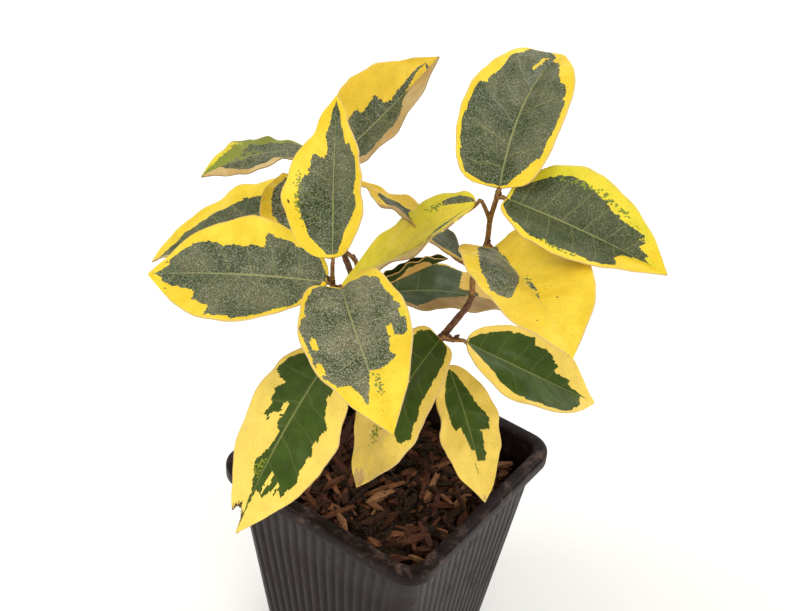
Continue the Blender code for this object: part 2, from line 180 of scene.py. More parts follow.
# How a leaf is painted. Left and right: how far the green reaches from the midrib in each half, as pairs of a
# share of the length and a share of the half width. Gaps: how far from the midrib the margin's tone runs
# inside that green, in the same way. Margins: the tone of the left and the right margin. Spots: place (share
# of the length, share of the half width, right is negative), half length and half width in the same shares,
# and tone. Age: how far its colours have dulled. Scurf: how thick its scales lie.
Paint = namedtuple("Paint", "left right left_gap right_gap margins spots age scurf",
                   defaults=((), (), (GOLD, GOLD), (), 0.0, 0.7))

PAINTS = {
    ("front_left_tuft", "upright"): Paint(
        ((0.02, 0.3), (0.1, 0.62), (0.2, 0.68), (0.38, 0.66), (0.44, 0.5), (0.5, 0.58), (0.555, 0.55),
         (0.57, 0.2), (0.64, 0.22), (0.72, 0.38), (0.76, 0.38), (0.8, 0.27), (0.9, 0.34), (0.98, 0)),
        ((0.02, 0.4), (0.12, 0.5), (0.17, 0.6), (0.22, 0.77), (0.3, 0.74), (0.36, 0.8), (0.45, 0.82),
         (0.5, 0.74), (0.57, 0.7), (0.6, 0.5), (0.7, 0.54), (0.86, 0.5), (0.92, 0.33), (0.98, 0)),
        spots=((0.25, 0.87, 0.008, 0.025, BROWN), (0.38, 0.77, 0.006, 0.02, BROWN),
               (0.35, 0.7, 0.08, 0.09, OLIVE), (0.22, 0.7, 0.07, 0.06, OLIVE))),
    ("front_left_tuft", "left"): Paint(
        ((0.03, 0.3), (0.08, 0.9), (0.3, 0.93), (0.44, 0.93), (0.455, 0.72), (0.52, 0.7), (0.6, 0.66),
         (0.63, 0.5), (0.68, 0.45), (0.76, 0.47), (0.78, 0.55), (0.88, 0.5), (0.9, 0.3), (0.97, 0)),
        ((0.01, 0.5), (0.05, 0.85), (0.14, 0.78), (0.27, 0.76), (0.29, 0.62), (0.3, 0.5), (0.36, 0.52),
         (0.45, 0.5), (0.52, 0.55), (0.58, 0.68), (0.65, 0.74), (0.76, 0.7), (0.83, 0.64), (0.85, 0.4),
         (0.92, 0.22), (0.98, 0)),
        spots=((0.8, 0.77, 0.01, 0.03, BROWN), (0.855, -0.6, 0.012, 0.04, BROWN)), scurf=0.8),
    ("front_left_tuft", "front"): Paint(
        ((0.01, 0.6), (0.06, 0.8), (0.15, 0.86), (0.3, 0.9), (0.4, 0.95), (0.45, 0.9), (0.46, 0.6),
         (0.5, 0.52), (0.53, 0.5), (0.56, 0.6), (0.585, 0.56), (0.61, 0.46), (0.63, 0.24), (0.635, 0)),
        ((0.01, 0.88), (0.1, 0.93), (0.25, 0.95), (0.4, 0.96), (0.52, 0.92), (0.6, 0.86), (0.63, 0.7),
         (0.64, 0.58), (0.7, 0.52), (0.79, 0.46), (0.8, 0)),
        right_gap=((0.64, 0), (0.72, 0.14), (0.8, 0.42)),
        spots=((0.36, -0.78, 0.035, 0.05, GOLD), (0.47, -0.86, 0.035, 0.07, GOLD),
               (0.44, 0.6, 0.045, 0.07, GOLD), (0.36, 0.9, 0.03, 0.05, LIME),
               (0.71, 0.12, 0.08, 0.1, OLIVE)), scurf=1.15),
    ("right_tuft", "inner"): Paint(
        ((0.05, 0.5), (0.35, 0.8), (0.45, 0.7), (0.55, 0.72), (0.66, 0.6), (0.73, 0.3), (0.77, 0)),
        ((0.03, 1), (0.35, 1), (0.4, 0.5), (0.5, 0.36), (0.6, 0.3), (0.68, 0.16), (0.73, 0)),
        spots=((0.2, 0.95, 0.3, 0.25, TAN),), age=0.35, scurf=0.25),
    ("right_tuft", "lower"): Paint(
        ((0, 0.2), (0.05, 0.12), (0.15, 0.06), (0.3, 0.02)),
        ((0.01, 0.6), (0.1, 0.62), (0.2, 0.72), (0.3, 0.81), (0.36, 0.83), (0.42, 0.8), (0.44, 0.72),
         (0.46, 0.6), (0.465, 0)),
        right_gap=((0.27, 0), (0.34, 0.05), (0.4, 0.19), (0.44, 0.36), (0.465, 0.5)),
        spots=((0.32, 0.82, 0.006, 0.02, BROWN), (0.68, -0.35, 0.006, 0.02, BROWN),
               (0.56, 0.3, 0.006, 0.02, BROWN), (0.525, 0.02, 0.022, 0.035, GREEN),
               (0.45, 0.04, 0.07, 0.022, GREEN), (0.42, 0.05, 0.12, 0.04, OLIVE)), age=0.12, scurf=1.0),
    ("right_tuft", "left"): Paint(
        ((0.06, 0.1), (0.1, 0.32), (0.15, 0.44), (0.22, 0.48), (0.26, 0.44), (0.28, 0)),
        ((0, 0.6), (0.07, 0.82), (0.13, 0.8), (0.17, 0.74), (0.18, 0)),
        left_gap=((0.06, 0), (0.1, 0.16), (0.15, 0.28), (0.28, 0.36)),
        right_gap=((0, 0.3), (0.07, 0.4), (0.13, 0.5), (0.18, 0.6)), margins=(LIME, LIME),
        spots=((0.36, 0.4, 0.12, 0.06, OLIVE), (0.21, -0.62, 0.06, 0.12, OLIVE), (0.45, 1, 0.42, 0.5, TAN))),
    ("right_tuft", "top"): Paint(
        ((0.01, 0.7), (0.05, 0.93), (0.2, 0.92), (0.35, 0.89), (0.37, 0.8), (0.45, 0.77), (0.55, 0.86),
         (0.66, 0.82), (0.7, 0.95), (0.88, 0.97), (0.91, 0.5), (0.93, 0)),
        ((0.01, 0.4), (0.05, 0.55), (0.09, 0.7), (0.11, 0.82), (0.2, 0.87), (0.35, 0.88), (0.45, 0.8),
         (0.51, 0.66), (0.6, 0.6), (0.7, 0.56), (0.76, 0.5), (0.82, 0.3), (0.88, 0.05), (0.91, 0)),
        spots=((0.76, 0.27, 0.08, 0.06, GOLD), (0.8, 0.6, 0.05, 0.03, OLIVE))),
    ("right_tuft", "right"): Paint(
        ((0.02, 0.6), (0.1, 0.72), (0.2, 0.83), (0.27, 0.8), (0.35, 0.7), (0.45, 0.62), (0.55, 0.56),
         (0.62, 0.62), (0.7, 0.68), (0.745, 0.6), (0.75, 0.4), (0.83, 0.34), (0.84, 0.1), (0.93, 0)),
        ((0.01, 0.7), (0.07, 0.88), (0.18, 0.9), (0.26, 0.84), (0.38, 0.8), (0.48, 0.88), (0.6, 0.85),
         (0.635, 0.8), (0.64, 0.5), (0.7, 0.3), (0.77, 0.2), (0.78, 0.08), (0.92, 0)),
        margins=(LIME, GOLD), spots=((0.9, 0.74, 0.17, 0.44, GOLD), (0.4, 0.72, 0.2, 0.06, OLIVE),
                                     (0.3, -0.84, 0.1, 0.05, OLIVE)), scurf=0.42),
    ("back_tuft", "right"): Paint(
        ((0.02, 0.5), (0.25, 0.52), (0.32, 0.38), (0.42, 0.45), (0.47, 0.25), (0.55, 0.13), (0.65, 0.22),
         (0.75, 0.3), (0.88, 0.5), (0.91, 0)),
        ((0.02, 0.7), (0.22, 0.86), (0.3, 0.8), (0.4, 0.66), (0.5, 0.56), (0.6, 0.3), (0.72, 0.06),
         (0.76, 0)),
        left_gap=((0.66, 0), (0.74, 0.1), (0.88, 0.4)), margins=(GOLD, TAN), age=0.3),
    ("back_tuft", "left_high"): Paint(
        ((0.02, 0.6), (0.1, 0.75), (0.4, 0.72), (0.6, 0.6), (0.75, 0.35), (0.82, 0)),
        ((0.02, 0.7), (0.1, 0.75), (0.25, 0.62), (0.38, 0.66), (0.5, 0.4), (0.62, 0.2), (0.8, 0)),
        margins=(TAN, OLIVE), spots=((0.62, -0.12, 0.22, 0.2, OLIVE), (0.74, -0.84, 0.28, 0.2, LIME)),
        age=0.1),
    ("back_tuft", "left_low"): Paint(
        ((0.03, 0.5), (0.3, 0.8), (0.8, 0.85), (0.9, 0.5), (0.97, 0)),
        ((0.03, 0.3), (0.2, 0.44), (0.3, 0.52), (0.36, 0.46), (0.55, 0.46), (0.63, 0.4), (0.7, 0.5),
         (0.85, 0.3), (0.96, 0)), margins=(TAN, GOLD), scurf=0.5),
    ("back_tuft", "middle"): Paint(
        ((0.03, 0.5), (0.1, 0.62), (0.3, 0.7), (0.45, 0.67), (0.65, 0.66), (0.8, 0.5), (0.92, 0)),
        ((0.03, 0.5), (0.2, 0.8), (0.5, 0.85), (0.8, 0.6), (0.95, 0)), age=0.15, scurf=1.2),
    ("low_right_leaves", "front"): Paint(
        ((0, 0.8), (0.1, 0.76), (0.26, 0.66), (0.28, 0.78), (0.33, 0.8), (0.38, 0.86), (0.43, 0.8),
         (0.455, 0.72), (0.46, 0)),
        ((0, 0.85), (0.1, 0.86), (0.17, 0.84), (0.22, 0.66), (0.26, 0.4), (0.3, 0.1), (0.32, 0)),
        left_gap=((0.27, 0), (0.32, 0.12), (0.38, 0.26), (0.46, 0.4)),
        spots=((0.575, 0.03, 0.012, 0.05, GREEN), (0.6, -0.08, 0.09, 0.16, OLIVE),
               (0.94, 0, 0.07, 0.9, TAN)), age=0.05),
    ("low_right_leaves", "right"): Paint(
        ((0.01, 0.5), (0.1, 0.8), (0.2, 0.86), (0.33, 0.85), (0.36, 0.74), (0.47, 0.68), (0.5, 0.6),
         (0.575, 0.5), (0.585, 0.34), (0.66, 0.36), (0.72, 0.38), (0.74, 0.22), (0.85, 0.2), (0.93, 0)),
        ((0.01, 0.2), (0.05, 0.4), (0.1, 0.6), (0.2, 0.78), (0.3, 0.85), (0.4, 0.88), (0.5, 0.92),
         (0.6, 0.9), (0.7, 0.8), (0.78, 0.7), (0.83, 0.4), (0.88, 0)), age=0.15),
    ("low_right_leaf", "front"): Paint(
        ((0.03, 0.1), (0.06, 0.25), (0.15, 0.4), (0.25, 0.5), (0.3, 0.65), (0.36, 0.68), (0.42, 0.6),
         (0.44, 0.38), (0.55, 0.37), (0.6, 0.45), (0.66, 0.42), (0.7, 0)),
        ((0.03, 0.2), (0.08, 0.5), (0.15, 0.65), (0.25, 0.6), (0.33, 0.55), (0.38, 0.5), (0.4, 0.28),
         (0.52, 0.26), (0.58, 0.2), (0.62, 0)),
        spots=((0.72, -0.15, 0.06, 0.1, OLIVE), (0.97, 0, 0.03, 0.5, TAN)), age=0.15),
    ("low_left_leaf", "front"): Paint(
        ((0, 0.5), (0.095, 0.55), (0.15, 0.5), (0.19, 0.55), (0.235, 0.67), (0.285, 0.62), (0.33, 0.6),
         (0.36, 0.68), (0.435, 0.66), (0.49, 0.76), (0.61, 0.72), (0.62, 0.5), (0.66, 0.58), (0.67, 0.4),
         (0.73, 0.33), (0.74, 0.08), (0.97, 0.03), (0.98, 0)),
        ((0, 0.8), (0.07, 0.82), (0.125, 0.92), (0.165, 0.94), (0.185, 0.72), (0.2, 0.5), (0.22, 0.62),
         (0.243, 0.64), (0.3, 0.54), (0.35, 0.56), (0.385, 0.48), (0.4, 0.24), (0.44, 0.1), (0.5, 0.1),
         (0.55, 0.16), (0.585, 0.27), (0.65, 0.22), (0.73, 0.12), (0.8, 0.06), (0.98, 0.04), (0.985, 0)),
        spots=((0.32, -0.24, 0.05, 0.05, GOLD), (0.37, -0.33, 0.035, 0.1, GOLD),
               (0.66, 0.24, 0.07, 0.045, GOLD), (0.64, 0.46, 0.045, 0.035, GOLD),
               (0.64, -0.12, 0.05, 0.1, OLIVE), (0.93, -0.75, 0.1, 0.62, GONE),
               (0.9, -0.7, 0.09, 0.58, BROWN)), age=0.05),
    # Its age dulls and darkens it, partly as real ageing and partly as painted shade of the leaves above it
    ("low_back_leaves", "right"): Paint(
        ((0.02, 0.3), (0.1, 0.6), (0.2, 0.85), (0.3, 0.98), (0.42, 0.95), (0.43, 0.75), (0.46, 0.4),
         (0.56, 0.38), (0.62, 0)),
        ((0.02, 0.7), (0.12, 0.88), (0.2, 0.62), (0.3, 0.45), (0.38, 0.3), (0.45, 0.2), (0.6, 0)),
        margins=(GOLD, TAN), age=0.6),
    ("low_back_leaves", "withered"): Paint(
        ((0, 0.2), (0.3, 0.5), (0.7, 0.3), (0.8, 0)), ((0, 0.2), (0.3, 0.6), (0.7, 0.4), (0.8, 0)),
        margins=(BROWN, BROWN), age=1.0),
    ("rear_tuft", "low"): Paint(
        ((0.02, 0.4), (0.1, 0.7), (0.3, 0.75), (0.42, 0.6), (0.55, 0.7), (0.7, 0.45), (0.8, 0.3), (0.9, 0)),
        ((0.02, 0.4), (0.12, 0.75), (0.35, 0.8), (0.5, 0.62), (0.6, 0.4), (0.75, 0.35), (0.88, 0)), age=0.25),
    ("rear_tuft", "high"): Paint(
        ((0.02, 0.5), (0.15, 0.8), (0.35, 0.7), (0.5, 0.8), (0.65, 0.6), (0.8, 0.35), (0.93, 0)),
        ((0.02, 0.4), (0.1, 0.6), (0.3, 0.68), (0.45, 0.5), (0.6, 0.58), (0.75, 0.3), (0.9, 0)), age=0.2),
    ("low_rear_leaves", "left"): Paint(
        ((0.02, 0.5), (0.2, 0.78), (0.4, 0.82), (0.55, 0.6), (0.7, 0.5), (0.8, 0.2), (0.86, 0)),
        ((0.02, 0.5), (0.15, 0.72), (0.3, 0.6), (0.5, 0.7), (0.6, 0.42), (0.78, 0.3), (0.9, 0)), age=0.25),
    ("low_rear_leaves", "right"): Paint(
        ((0.02, 0.4), (0.2, 0.7), (0.35, 0.55), (0.5, 0.65), (0.7, 0.4), (0.85, 0)),
        ((0.02, 0.5), (0.15, 0.8), (0.4, 0.75), (0.5, 0.5), (0.65, 0.45), (0.8, 0)), age=0.3),
}


# Settings


def srgb(*screen):
    """A colour from its 0 to 255 screen values, as Blender's linear ones."""
    return tuple(((v / 255 + 0.055) / 1.055) ** 2.4 if v > 10 else v / 255 / 12.92 for v in screen)


def size(name, description, default):
    return FloatProperty(name=name, description=description, default=default, unit="LENGTH")


def share(name, description, default):
    return FloatProperty(name=name, description=description, default=default, min=0, max=1, subtype="FACTOR")


def angle(name, description, degrees):
    return FloatProperty(name=name, description=description, default=math.radians(degrees), subtype="ANGLE")


def count(name, description, default):
    return IntProperty(name=name, description=description, default=default, min=1)


def colour(name, description, *screen):
    return FloatVectorProperty(name=name, description=description, default=srgb(*screen), subtype="COLOR",
                               min=0, max=1)


class PotSettings(bpy.types.PropertyGroup):
    """Sizes and colours of the pot"""

    height: size("Height", "Height of the pot", pot_box[1].z)
    rim_side: size("Rim side", "Side of the square rim", pot_box[1].x - pot_box[0].x)
    rim_depth: size("Rim depth", "Depth of the lip", 0.006)
    rim_corner: size("Rim corner", "Corner radius of the rim", 0.010)
    rim_ease: size("Rim rounding", "Rounding of the lip's edges", 0.0012)
    wall_top: size("Wall top side", "Side of the wall under the lip", 0.082)
    wall_foot: size("Wall foot side", "Side of the wall at the foot", 0.061)
    wall_corner: size("Wall corner", "Corner radius of the wall", 0.007)
    wall_thick: size("Wall thickness", "Thickness of the wall", 0.0014)
    floor_thick: size("Floor thickness", "Thickness of the floor", 0.002)
    ribs: count("Ribs a side", "Upright ribs on each side", 15)
    rib_depth: size("Rib depth", "How far a rib stands proud", 0.0005)
    drain_radius: size("Drain hole radius", "Radius of each drain hole", 0.0045)
    drain_out: size("Drain hole place", "How far the drain holes lie from the middle", 0.017)
    plastic: colour("Plastic", "Colour of the plastic", 24, 15, 14)
    scuff: colour("Scuffs", "Colour of worn and dusty plastic", 132, 106, 96)


class MixSettings(bpy.types.PropertyGroup):
    """Sizes and colours of the potting mix"""

    level: size("Level", "Height of the mix in the pot", 0.087)
    skirt: size("Skirt", "How far the mix drops at the pot's wall", 0.004)
    lumps: size("Lumps", "How far the surface rises and falls", 0.0022)
    wall_gap: size("Wall gap", "From the middle to where the mix meets the wall", 0.0385)
    chips: count("Bark chips", "Number of bark chips", 760)
    crumbs: count("Crumbs", "Number of small crumbs", 900)
    chip_longest: size("Longest chip", "Length of the longest bark chip", 0.017)
    # Both mix tones are partly the dark of moist bark and partly painted shade, darkened for the gaps between
    # the chips and the shade of the leaves
    dark: colour("Dark", "Dark of the moist mix", 16, 11, 9)
    light: colour("Light", "Light of the drier mix", 42, 28, 21)


class BarkSettings(bpy.types.PropertyGroup):
    """Sizes and colours of the stem, boughs and shoots"""

    sides: count("Sides", "Sides of a stem's or bough's tube", 30)
    step: size("Step", "Length of a tube's rings", 0.0006)
    relief: size("Relief", "Height of the bark's scales", 0.00022)
    low: colour("Lower bark", "Colour of the older bark below", 74, 42, 32)
    high: colour("Upper bark", "Colour of the young bark above", 104, 64, 38)
    shoot: colour("Shoot", "Colour of shoots and petioles", 154, 110, 58)
    bud: colour("Bud", "Colour of bud scales", 92, 52, 30)


class LeafSettings(bpy.types.PropertyGroup):
    """Sizes and colours of the leaves"""

    rows: count("Rows", "Rows of faces along a leaf", 132)
    columns: count("Columns", "Columns of faces across a leaf", 52)
    thick: size("Thickness", "Thickness of a blade", 0.0004)
    slant: share("Vein slant", "How far the side veins slant to the tip", 0.16)
    jag: share("Jag", "How far the edge of the green steps in and out", 0.045)
    ragged: share("Ragged", "How far the margin wanders in and out", 0.029)
    wave: size("Wave", "How far the margin waves up and down", 0.0014)
    quilt: size("Quilting", "How far the blade bulges between its veins", 0.00016)
    groove: size("Midrib groove", "How deep the midrib lies", 0.0004)
    young_green: colour("Young green", "Green of young leaves", 52, 66, 22)
    old_green: colour("Old green", "Green of old leaves", 60, 80, 18)
    olive: colour("Olive", "Where green fades into gold", 134, 142, 38)
    gold: colour("Gold", "Gold of the margins", 240, 203, 38)
    bright_gold: colour("Bright gold", "Brighter clouds in the gold", 252, 222, 62)
    old_gold: colour("Old gold", "Paler gold of old leaves", 246, 214, 98)
    lime: colour("Lime", "Greener gold", 222, 208, 44)
    fresh: colour("Fresh lime", "Brighter clouds in the lime", 246, 218, 60)
    amber: colour("Amber", "What gold dulls to with age", 200, 152, 64)
    tan: colour("Tan", "Dry margins", 222, 192, 130)
    brown: colour("Brown", "Dry spots", 92, 56, 28)
    rib: colour("Rib", "Colour of the midrib", 166, 166, 100)
    scurf: colour("Scurf", "Colour of the scales on young leaves", 194, 192, 162)
    rust: colour("Rusty scurf", "Colour of the rusty scales among them", 150, 124, 100)
    silver: colour("Underside", "Silvery green underside", 176, 172, 134)
    pale_gold: colour("Underside gold", "Underside of the gold margins", 232, 206, 116)


class StageSettings(bpy.types.PropertyGroup):
    """The floor, the lights and the camera"""

    floor: colour("Floor", "Colour of the floor", 253, 251, 247)
    distance: size("Camera distance", "From the camera to its target", 0.6)
    target: FloatVectorProperty(name="Camera target", description="What the camera looks at",
                                default=(-0.051, 0.075, 0.1), subtype="TRANSLATION")
    azimuth: angle("Camera azimuth", "Turn of the camera round the plant", 34)
    elevation: angle("Camera elevation", "Rise of the camera", 37)
    roll: angle("Camera roll", "Roll of the camera", 4.5)
    lens: FloatProperty(name="Camera lens", description="Focal length on a 36 mm sensor", default=64.8,
                        unit="CAMERA")
    light: FloatProperty(name="Light", description="Power of the soft lights and the sky", default=1.0, min=0)


# Shader nodes


def add_node(tree, kind, inputs=None, **settings):
    """A new node with its properties set, and its inputs given values or linked to sockets."""
    made = tree.nodes.new(kind)
    for name, value in settings.items():
        setattr(made, name, value)
    for key, value in (inputs or {}).items():
        socket = made.inputs[key]
        if isinstance(value, bpy.types.NodeSocket):
            tree.links.new(value, socket)
        elif socket.type == "RGBA":
            socket.default_value = (*value, 1)
        else:
            socket.default_value = value
    return made


def sums(tree, operation, first, second=0.0, third=0.0):
    """A Math node's value."""
    return add_node(tree, "ShaderNodeMath", {0: first, 1: second, 2: third}, operation=operation).outputs[0]


def blend(tree, factor, first, second, way="MIX"):
    """Two colours mixed by a factor."""
    return add_node(tree, "ShaderNodeMix", {0: factor, 6: first, 7: second}, data_type="RGBA",
                    blend_type=way).outputs[2]


def ramp(tree, value, low, high, to_low=0.0, to_high=1.0):
    """A value's place between two others, smoothed."""
    return add_node(tree, "ShaderNodeMapRange", {0: value, 1: low, 2: high, 3: to_low, 4: to_high},
                    interpolation_type="SMOOTHSTEP").outputs[0]


def noise_at(tree, place, scale, detail=2.0, roughness=0.5):
    """A Noise Texture's value."""
    return add_node(tree, "ShaderNodeTexNoise", {"Vector": place, "Scale": scale, "Detail": detail,
                                                 "Roughness": roughness}).outputs["Fac"]


def cover(tree, skin, colour, mask, most):
    """The skin with a colour over it, as far as a mask and a share let it show."""
    return blend(tree, sums(tree, "MULTIPLY", mask, most), skin, colour)


def object_place(tree):
    return add_node(tree, "ShaderNodeTexCoord").outputs["Object"]


def height_up(tree):
    """The height of a point of the surface."""
    return add_node(tree, "ShaderNodeSeparateXYZ", {0: object_place(tree)}).outputs[2]


def node_group(name, title, kind, draw):
    """A shader node group with one input, built the first time that it's asked for.

    draw places its nodes, given the group and the input's socket, and returns its outputs by name.
    """
    made = bpy.data.node_groups.get(name)
    if not made:
        made = bpy.data.node_groups.new(name, "ShaderNodeTree")
        made.interface.new_socket(title, in_out="INPUT", socket_type=kind)
        results = draw(made, made.nodes.new("NodeGroupInput").outputs[0])
        for result in results:
            made.interface.new_socket(result, in_out="OUTPUT", socket_type="NodeSocketFloat")
        wanted = made.nodes.new("NodeGroupOutput").inputs
        for result, value in results.items():
            made.links.new(value, wanted[result])
    return made


def scurf_group():
    """Fine scales, thick on young leaves, with the small patches and wide clouds that they fall in."""

    def draw(tree, scale_size):
        place = object_place(tree)
        density = sums(tree, "DIVIDE", 1.0, scale_size)
        cells = add_node(tree, "ShaderNodeTexVoronoi", {"Vector": place, "Scale": density}).outputs
        dice = add_node(tree, "ShaderNodeSeparateColor", {0: cells["Color"]}).outputs
        dot = ramp(tree, cells["Distance"], 0.7, 0.25)
        specks = sums(tree, "MULTIPLY", dot, ramp(tree, dice[0], 0.2, 0.9))
        patches = noise_at(tree, place, 240.0, 3.0)
        clouds = ramp(tree, noise_at(tree, place, 75.0, 2.0), 0.36, 0.64)
        return {
            "Specks": specks,
            "Rusty": sums(tree, "MULTIPLY", ramp(tree, dice[2], 0.35, 0.8), clouds),
            "Patches": ramp(tree, patches, 0.35, 0.68),
            "Clouds": clouds,
            "Freckles": sums(tree, "MULTIPLY", dot, ramp(tree, dice[1], 0.965, 0.975)),
            "Relief": sums(tree, "MULTIPLY_ADD", specks, 0.6, patches),
        }

    return node_group("Scurf", "Size", "NodeSocketFloat", draw)


def vein_group():
    """A leaf's midrib, side veins and edge, from its own map: length along U, and V across, midrib at 0.5."""

    def draw(tree, leaf_map):
        parts = add_node(tree, "ShaderNodeSeparateXYZ", {0: leaf_map}).outputs
        along, across = parts[0], sums(tree, "SUBTRACT", parts[1], 0.5)
        out = sums(tree, "ABSOLUTE", across)
        rib_width = sums(tree, "MULTIPLY_ADD", along, -0.016, 0.02)
        wander = sums(tree, "MULTIPLY", noise_at(tree, object_place(tree), 70.0), 0.6)
        step = sums(tree, "MULTIPLY_ADD", sums(tree, "GREATER_THAN", across, 0.0), 0.5, wander)
        phase = sums(tree, "MULTIPLY_ADD", along, float(SIDE_VEINS), step)
        near = sums(tree, "ABSOLUTE", sums(tree, "SUBTRACT", sums(tree, "FRACT", phase), 0.5))
        return {
            "Midrib": ramp(tree, sums(tree, "DIVIDE", out, rib_width), 1.0, 0.35),
            "Side veins": sums(tree, "MULTIPLY", ramp(tree, near, 0.055, 0.012), ramp(tree, out, 0.44, 0.25)),
            "Edge": ramp(tree, out, 0.475, 0.498),
        }

    return node_group("Veins", "Leaf map", "NodeSocketVector", draw)


def scales_group():
    """The flaking scales of young bark: a mask of their dark edges, fine pale streaks, and their relief."""

    def draw(tree, flake_size):
        place = object_place(tree)
        tall = add_node(tree, "ShaderNodeMapping", {"Vector": place, "Scale": (1, 1, 0.45)}).outputs[0]
        density = sums(tree, "DIVIDE", 1.0, flake_size)
        edge = add_node(tree, "ShaderNodeTexVoronoi", {"Vector": tall, "Scale": density},
                        feature="DISTANCE_TO_EDGE").outputs["Distance"]
        grain = noise_at(tree, tall, 1500.0, 3.0)
        return {
            "Flakes": ramp(tree, edge, 0.16, 0.03),
            "Streaks": ramp(tree, grain, 0.4, 0.65),
            "Relief": sums(tree, "MULTIPLY_ADD", ramp(tree, edge, 0.0, 0.25), 0.7, grain),
        }

    return node_group("Scales", "Size", "NodeSocketFloat", draw)


def fibre_group():
    """The fibres of moist bark: lighter lumps, pale threads, and their relief."""

    def draw(tree, fineness):
        place = object_place(tree)

        def fibres(scale, detail, roughness):
            return noise_at(tree, place, sums(tree, "MULTIPLY", fineness, scale), detail, roughness)

        return {
            "Lumps": ramp(tree, fibres(260.0, 5.0, 0.65), 0.35, 0.7),
            "Threads": ramp(tree, fibres(1300.0, 4.0, 0.7), 0.4, 0.65),
            "Relief": fibres(1000.0, 5.0, 0.7),
        }

    return node_group("Fibres", "Fineness", "NodeSocketFloat", draw)


def new_material(name, roughness, **inputs):
    """A material, its node tree and its Principled BSDF, with a roughness and other plain inputs."""
    made = bpy.data.materials.new(name)
    made.use_nodes = True
    shader = made.node_tree.nodes["Principled BSDF"]
    shader.inputs["Roughness"].default_value = roughness
    for title, value in inputs.items():
        shader.inputs[title.replace("_", " ")].default_value = value
    return made, made.node_tree, shader


def finish_material(tree, shader, colour, roughness, relief, depth, strength=1.0):
    """Gives a shader its colour, its roughness and a bump of a relief."""
    bump = add_node(tree, "ShaderNodeBump", {"Height": relief, "Distance": depth, "Strength": strength})
    for title, value in (("Base Color", colour), ("Roughness", roughness), ("Normal", bump.outputs[0])):
        tree.links.new(value, shader.inputs[title])


# A tone of leaf skin: its colour, the colour that clouds it and the one that it dulls to with age, how far
# scurf, ribs and mottling show on it, its roughness, and how far brown freckles show
Skin = namedtuple("Skin", "base cloud aged scurf rib mottle roughness freckle", defaults=(0.0,))


def leaf_material(name, gloss, look, settings):
    """A leaf's skin: clouded, dulled by age and mottled, with scurf, freckles, a dry edge and veins."""
    made, tree, shader = new_material(name, look.roughness, Specular_IOR_Level=gloss)
    age, thick = (add_node(tree, "ShaderNodeAttribute", attribute_name=title).outputs["Fac"]
                  for title in ("age", "scurf"))
    leaf_map = add_node(tree, "ShaderNodeUVMap", uv_map="leaf").outputs[0]
    veins = add_node(tree, "ShaderNodeGroup", {"Leaf map": leaf_map}, node_tree=vein_group()).outputs
    scales = add_node(tree, "ShaderNodeGroup", {"Size": SCURF_SIZE}, node_tree=scurf_group()).outputs
    skin = blend(tree, age, cover(tree, look.base, look.cloud, scales["Clouds"], 0.6), look.aged)
    dark = blend(tree, 1.0, skin, (0.62, 0.64, 0.6), "MULTIPLY")
    skin = cover(tree, skin, dark, scales["Patches"], look.mottle)
    film = sums(tree, "MULTIPLY_ADD", scales["Specks"], 0.8, sums(tree, "MULTIPLY", scales["Clouds"], 0.2))
    scaly = sums(tree, "MULTIPLY", sums(tree, "MULTIPLY", film, look.scurf), thick)
    skin = blend(tree, scaly, skin, blend(tree, scales["Rusty"], settings.scurf, settings.rust))
    for colour, mask, most in (
        (settings.brown, scales["Freckles"], look.freckle),
        (settings.tan, veins["Edge"], 0.4),
        (settings.rib, veins["Side veins"], look.rib ** 2 * 0.6),
        (settings.rib, veins["Midrib"], look.rib),
    ):
        skin = cover(tree, skin, colour, mask, most)
    rough = ramp(tree, scales["Patches"], 0, 1, look.roughness * 0.9, min(1, look.roughness * 1.2))
    relief = sums(tree, "MULTIPLY_ADD", veins["Side veins"], -1.2, scales["Relief"])
    finish_material(tree, shader, skin, rough, relief, 0.00008, 0.6)
    return made


def leaf_materials(settings, young):
    """The materials of a leaf piece's slots: the tones of the upper side, and then those of the underside."""
    name = "young_leaf_" if young else "old_leaf_"
    green = settings.young_green if young else settings.old_green
    gold = settings.gold if young else settings.old_gold
    bright = settings.bright_gold if young else tuple(c * 1.12 for c in gold)
    gloss, rough, scurf, rib = (0.24, 0.5, 1.0, 0.6) if young else (0.12, 0.34, 0.08, 0.4)
    dark = tuple(c * 0.5 for c in green)
    olive, amber, brown, silver = settings.olive, settings.amber, settings.brown, settings.silver
    looks = {
        "green": Skin(green, tuple(c * 1.35 for c in green), dark, scurf, rib, 0.6, rough),
        "olive": Skin(olive, olive, green, scurf * 0.3, rib, 0.4, rough),
        "lime": Skin(settings.lime, settings.fresh, amber, 0.05, 0.2, 0.25, rough, 0.6),
        "gold": Skin(gold, bright, amber, 0.05, 0.25, 0.2, rough, 0.6),
        "tan": Skin(settings.tan, amber, brown, 0.05, 0.1, 0.35, 0.6, 0.6),
        "brown": Skin(brown, dark, dark, 0.1, 0.2, 0.4, 0.7),
        "silver_underside": Skin(silver, silver, amber, 0.8, 0.6, 0.3, 0.55, 0.6),
        "gold_underside": Skin(settings.pale_gold, settings.pale_gold, amber, 0.4, 0.4, 0.2, 0.55, 0.6),
    }
    slots = ("green", "olive", "lime", "gold", "tan", "brown", "silver_underside", "silver_underside",
             "gold_underside", "gold_underside", "tan", "brown")
    return [bpy.data.materials.get(name + slot) or leaf_material(name + slot, gloss, looks[slot], settings)
            for slot in slots]


# Meshes


def new_object(name, bm, collection):
    """An object of a bmesh, which is freed."""
    mesh = bpy.data.meshes.new(name)
    bm.to_mesh(mesh)
    bm.free()
    made = bpy.data.objects.new(name, mesh)
    collection.objects.link(made)
    return made


def finish_piece(name, bm, materials, slot, *nodes):
    """Makes the bmesh a smooth piece that rides on the plant and stands for CAD nodes."""
    for face in bm.faces:
        face.smooth = True
    made = new_object(name, bm, bpy.context.scene.collection)
    for material in materials:
        made.data.materials.append(material)
    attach(made, "root")
    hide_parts(*nodes)
    return made


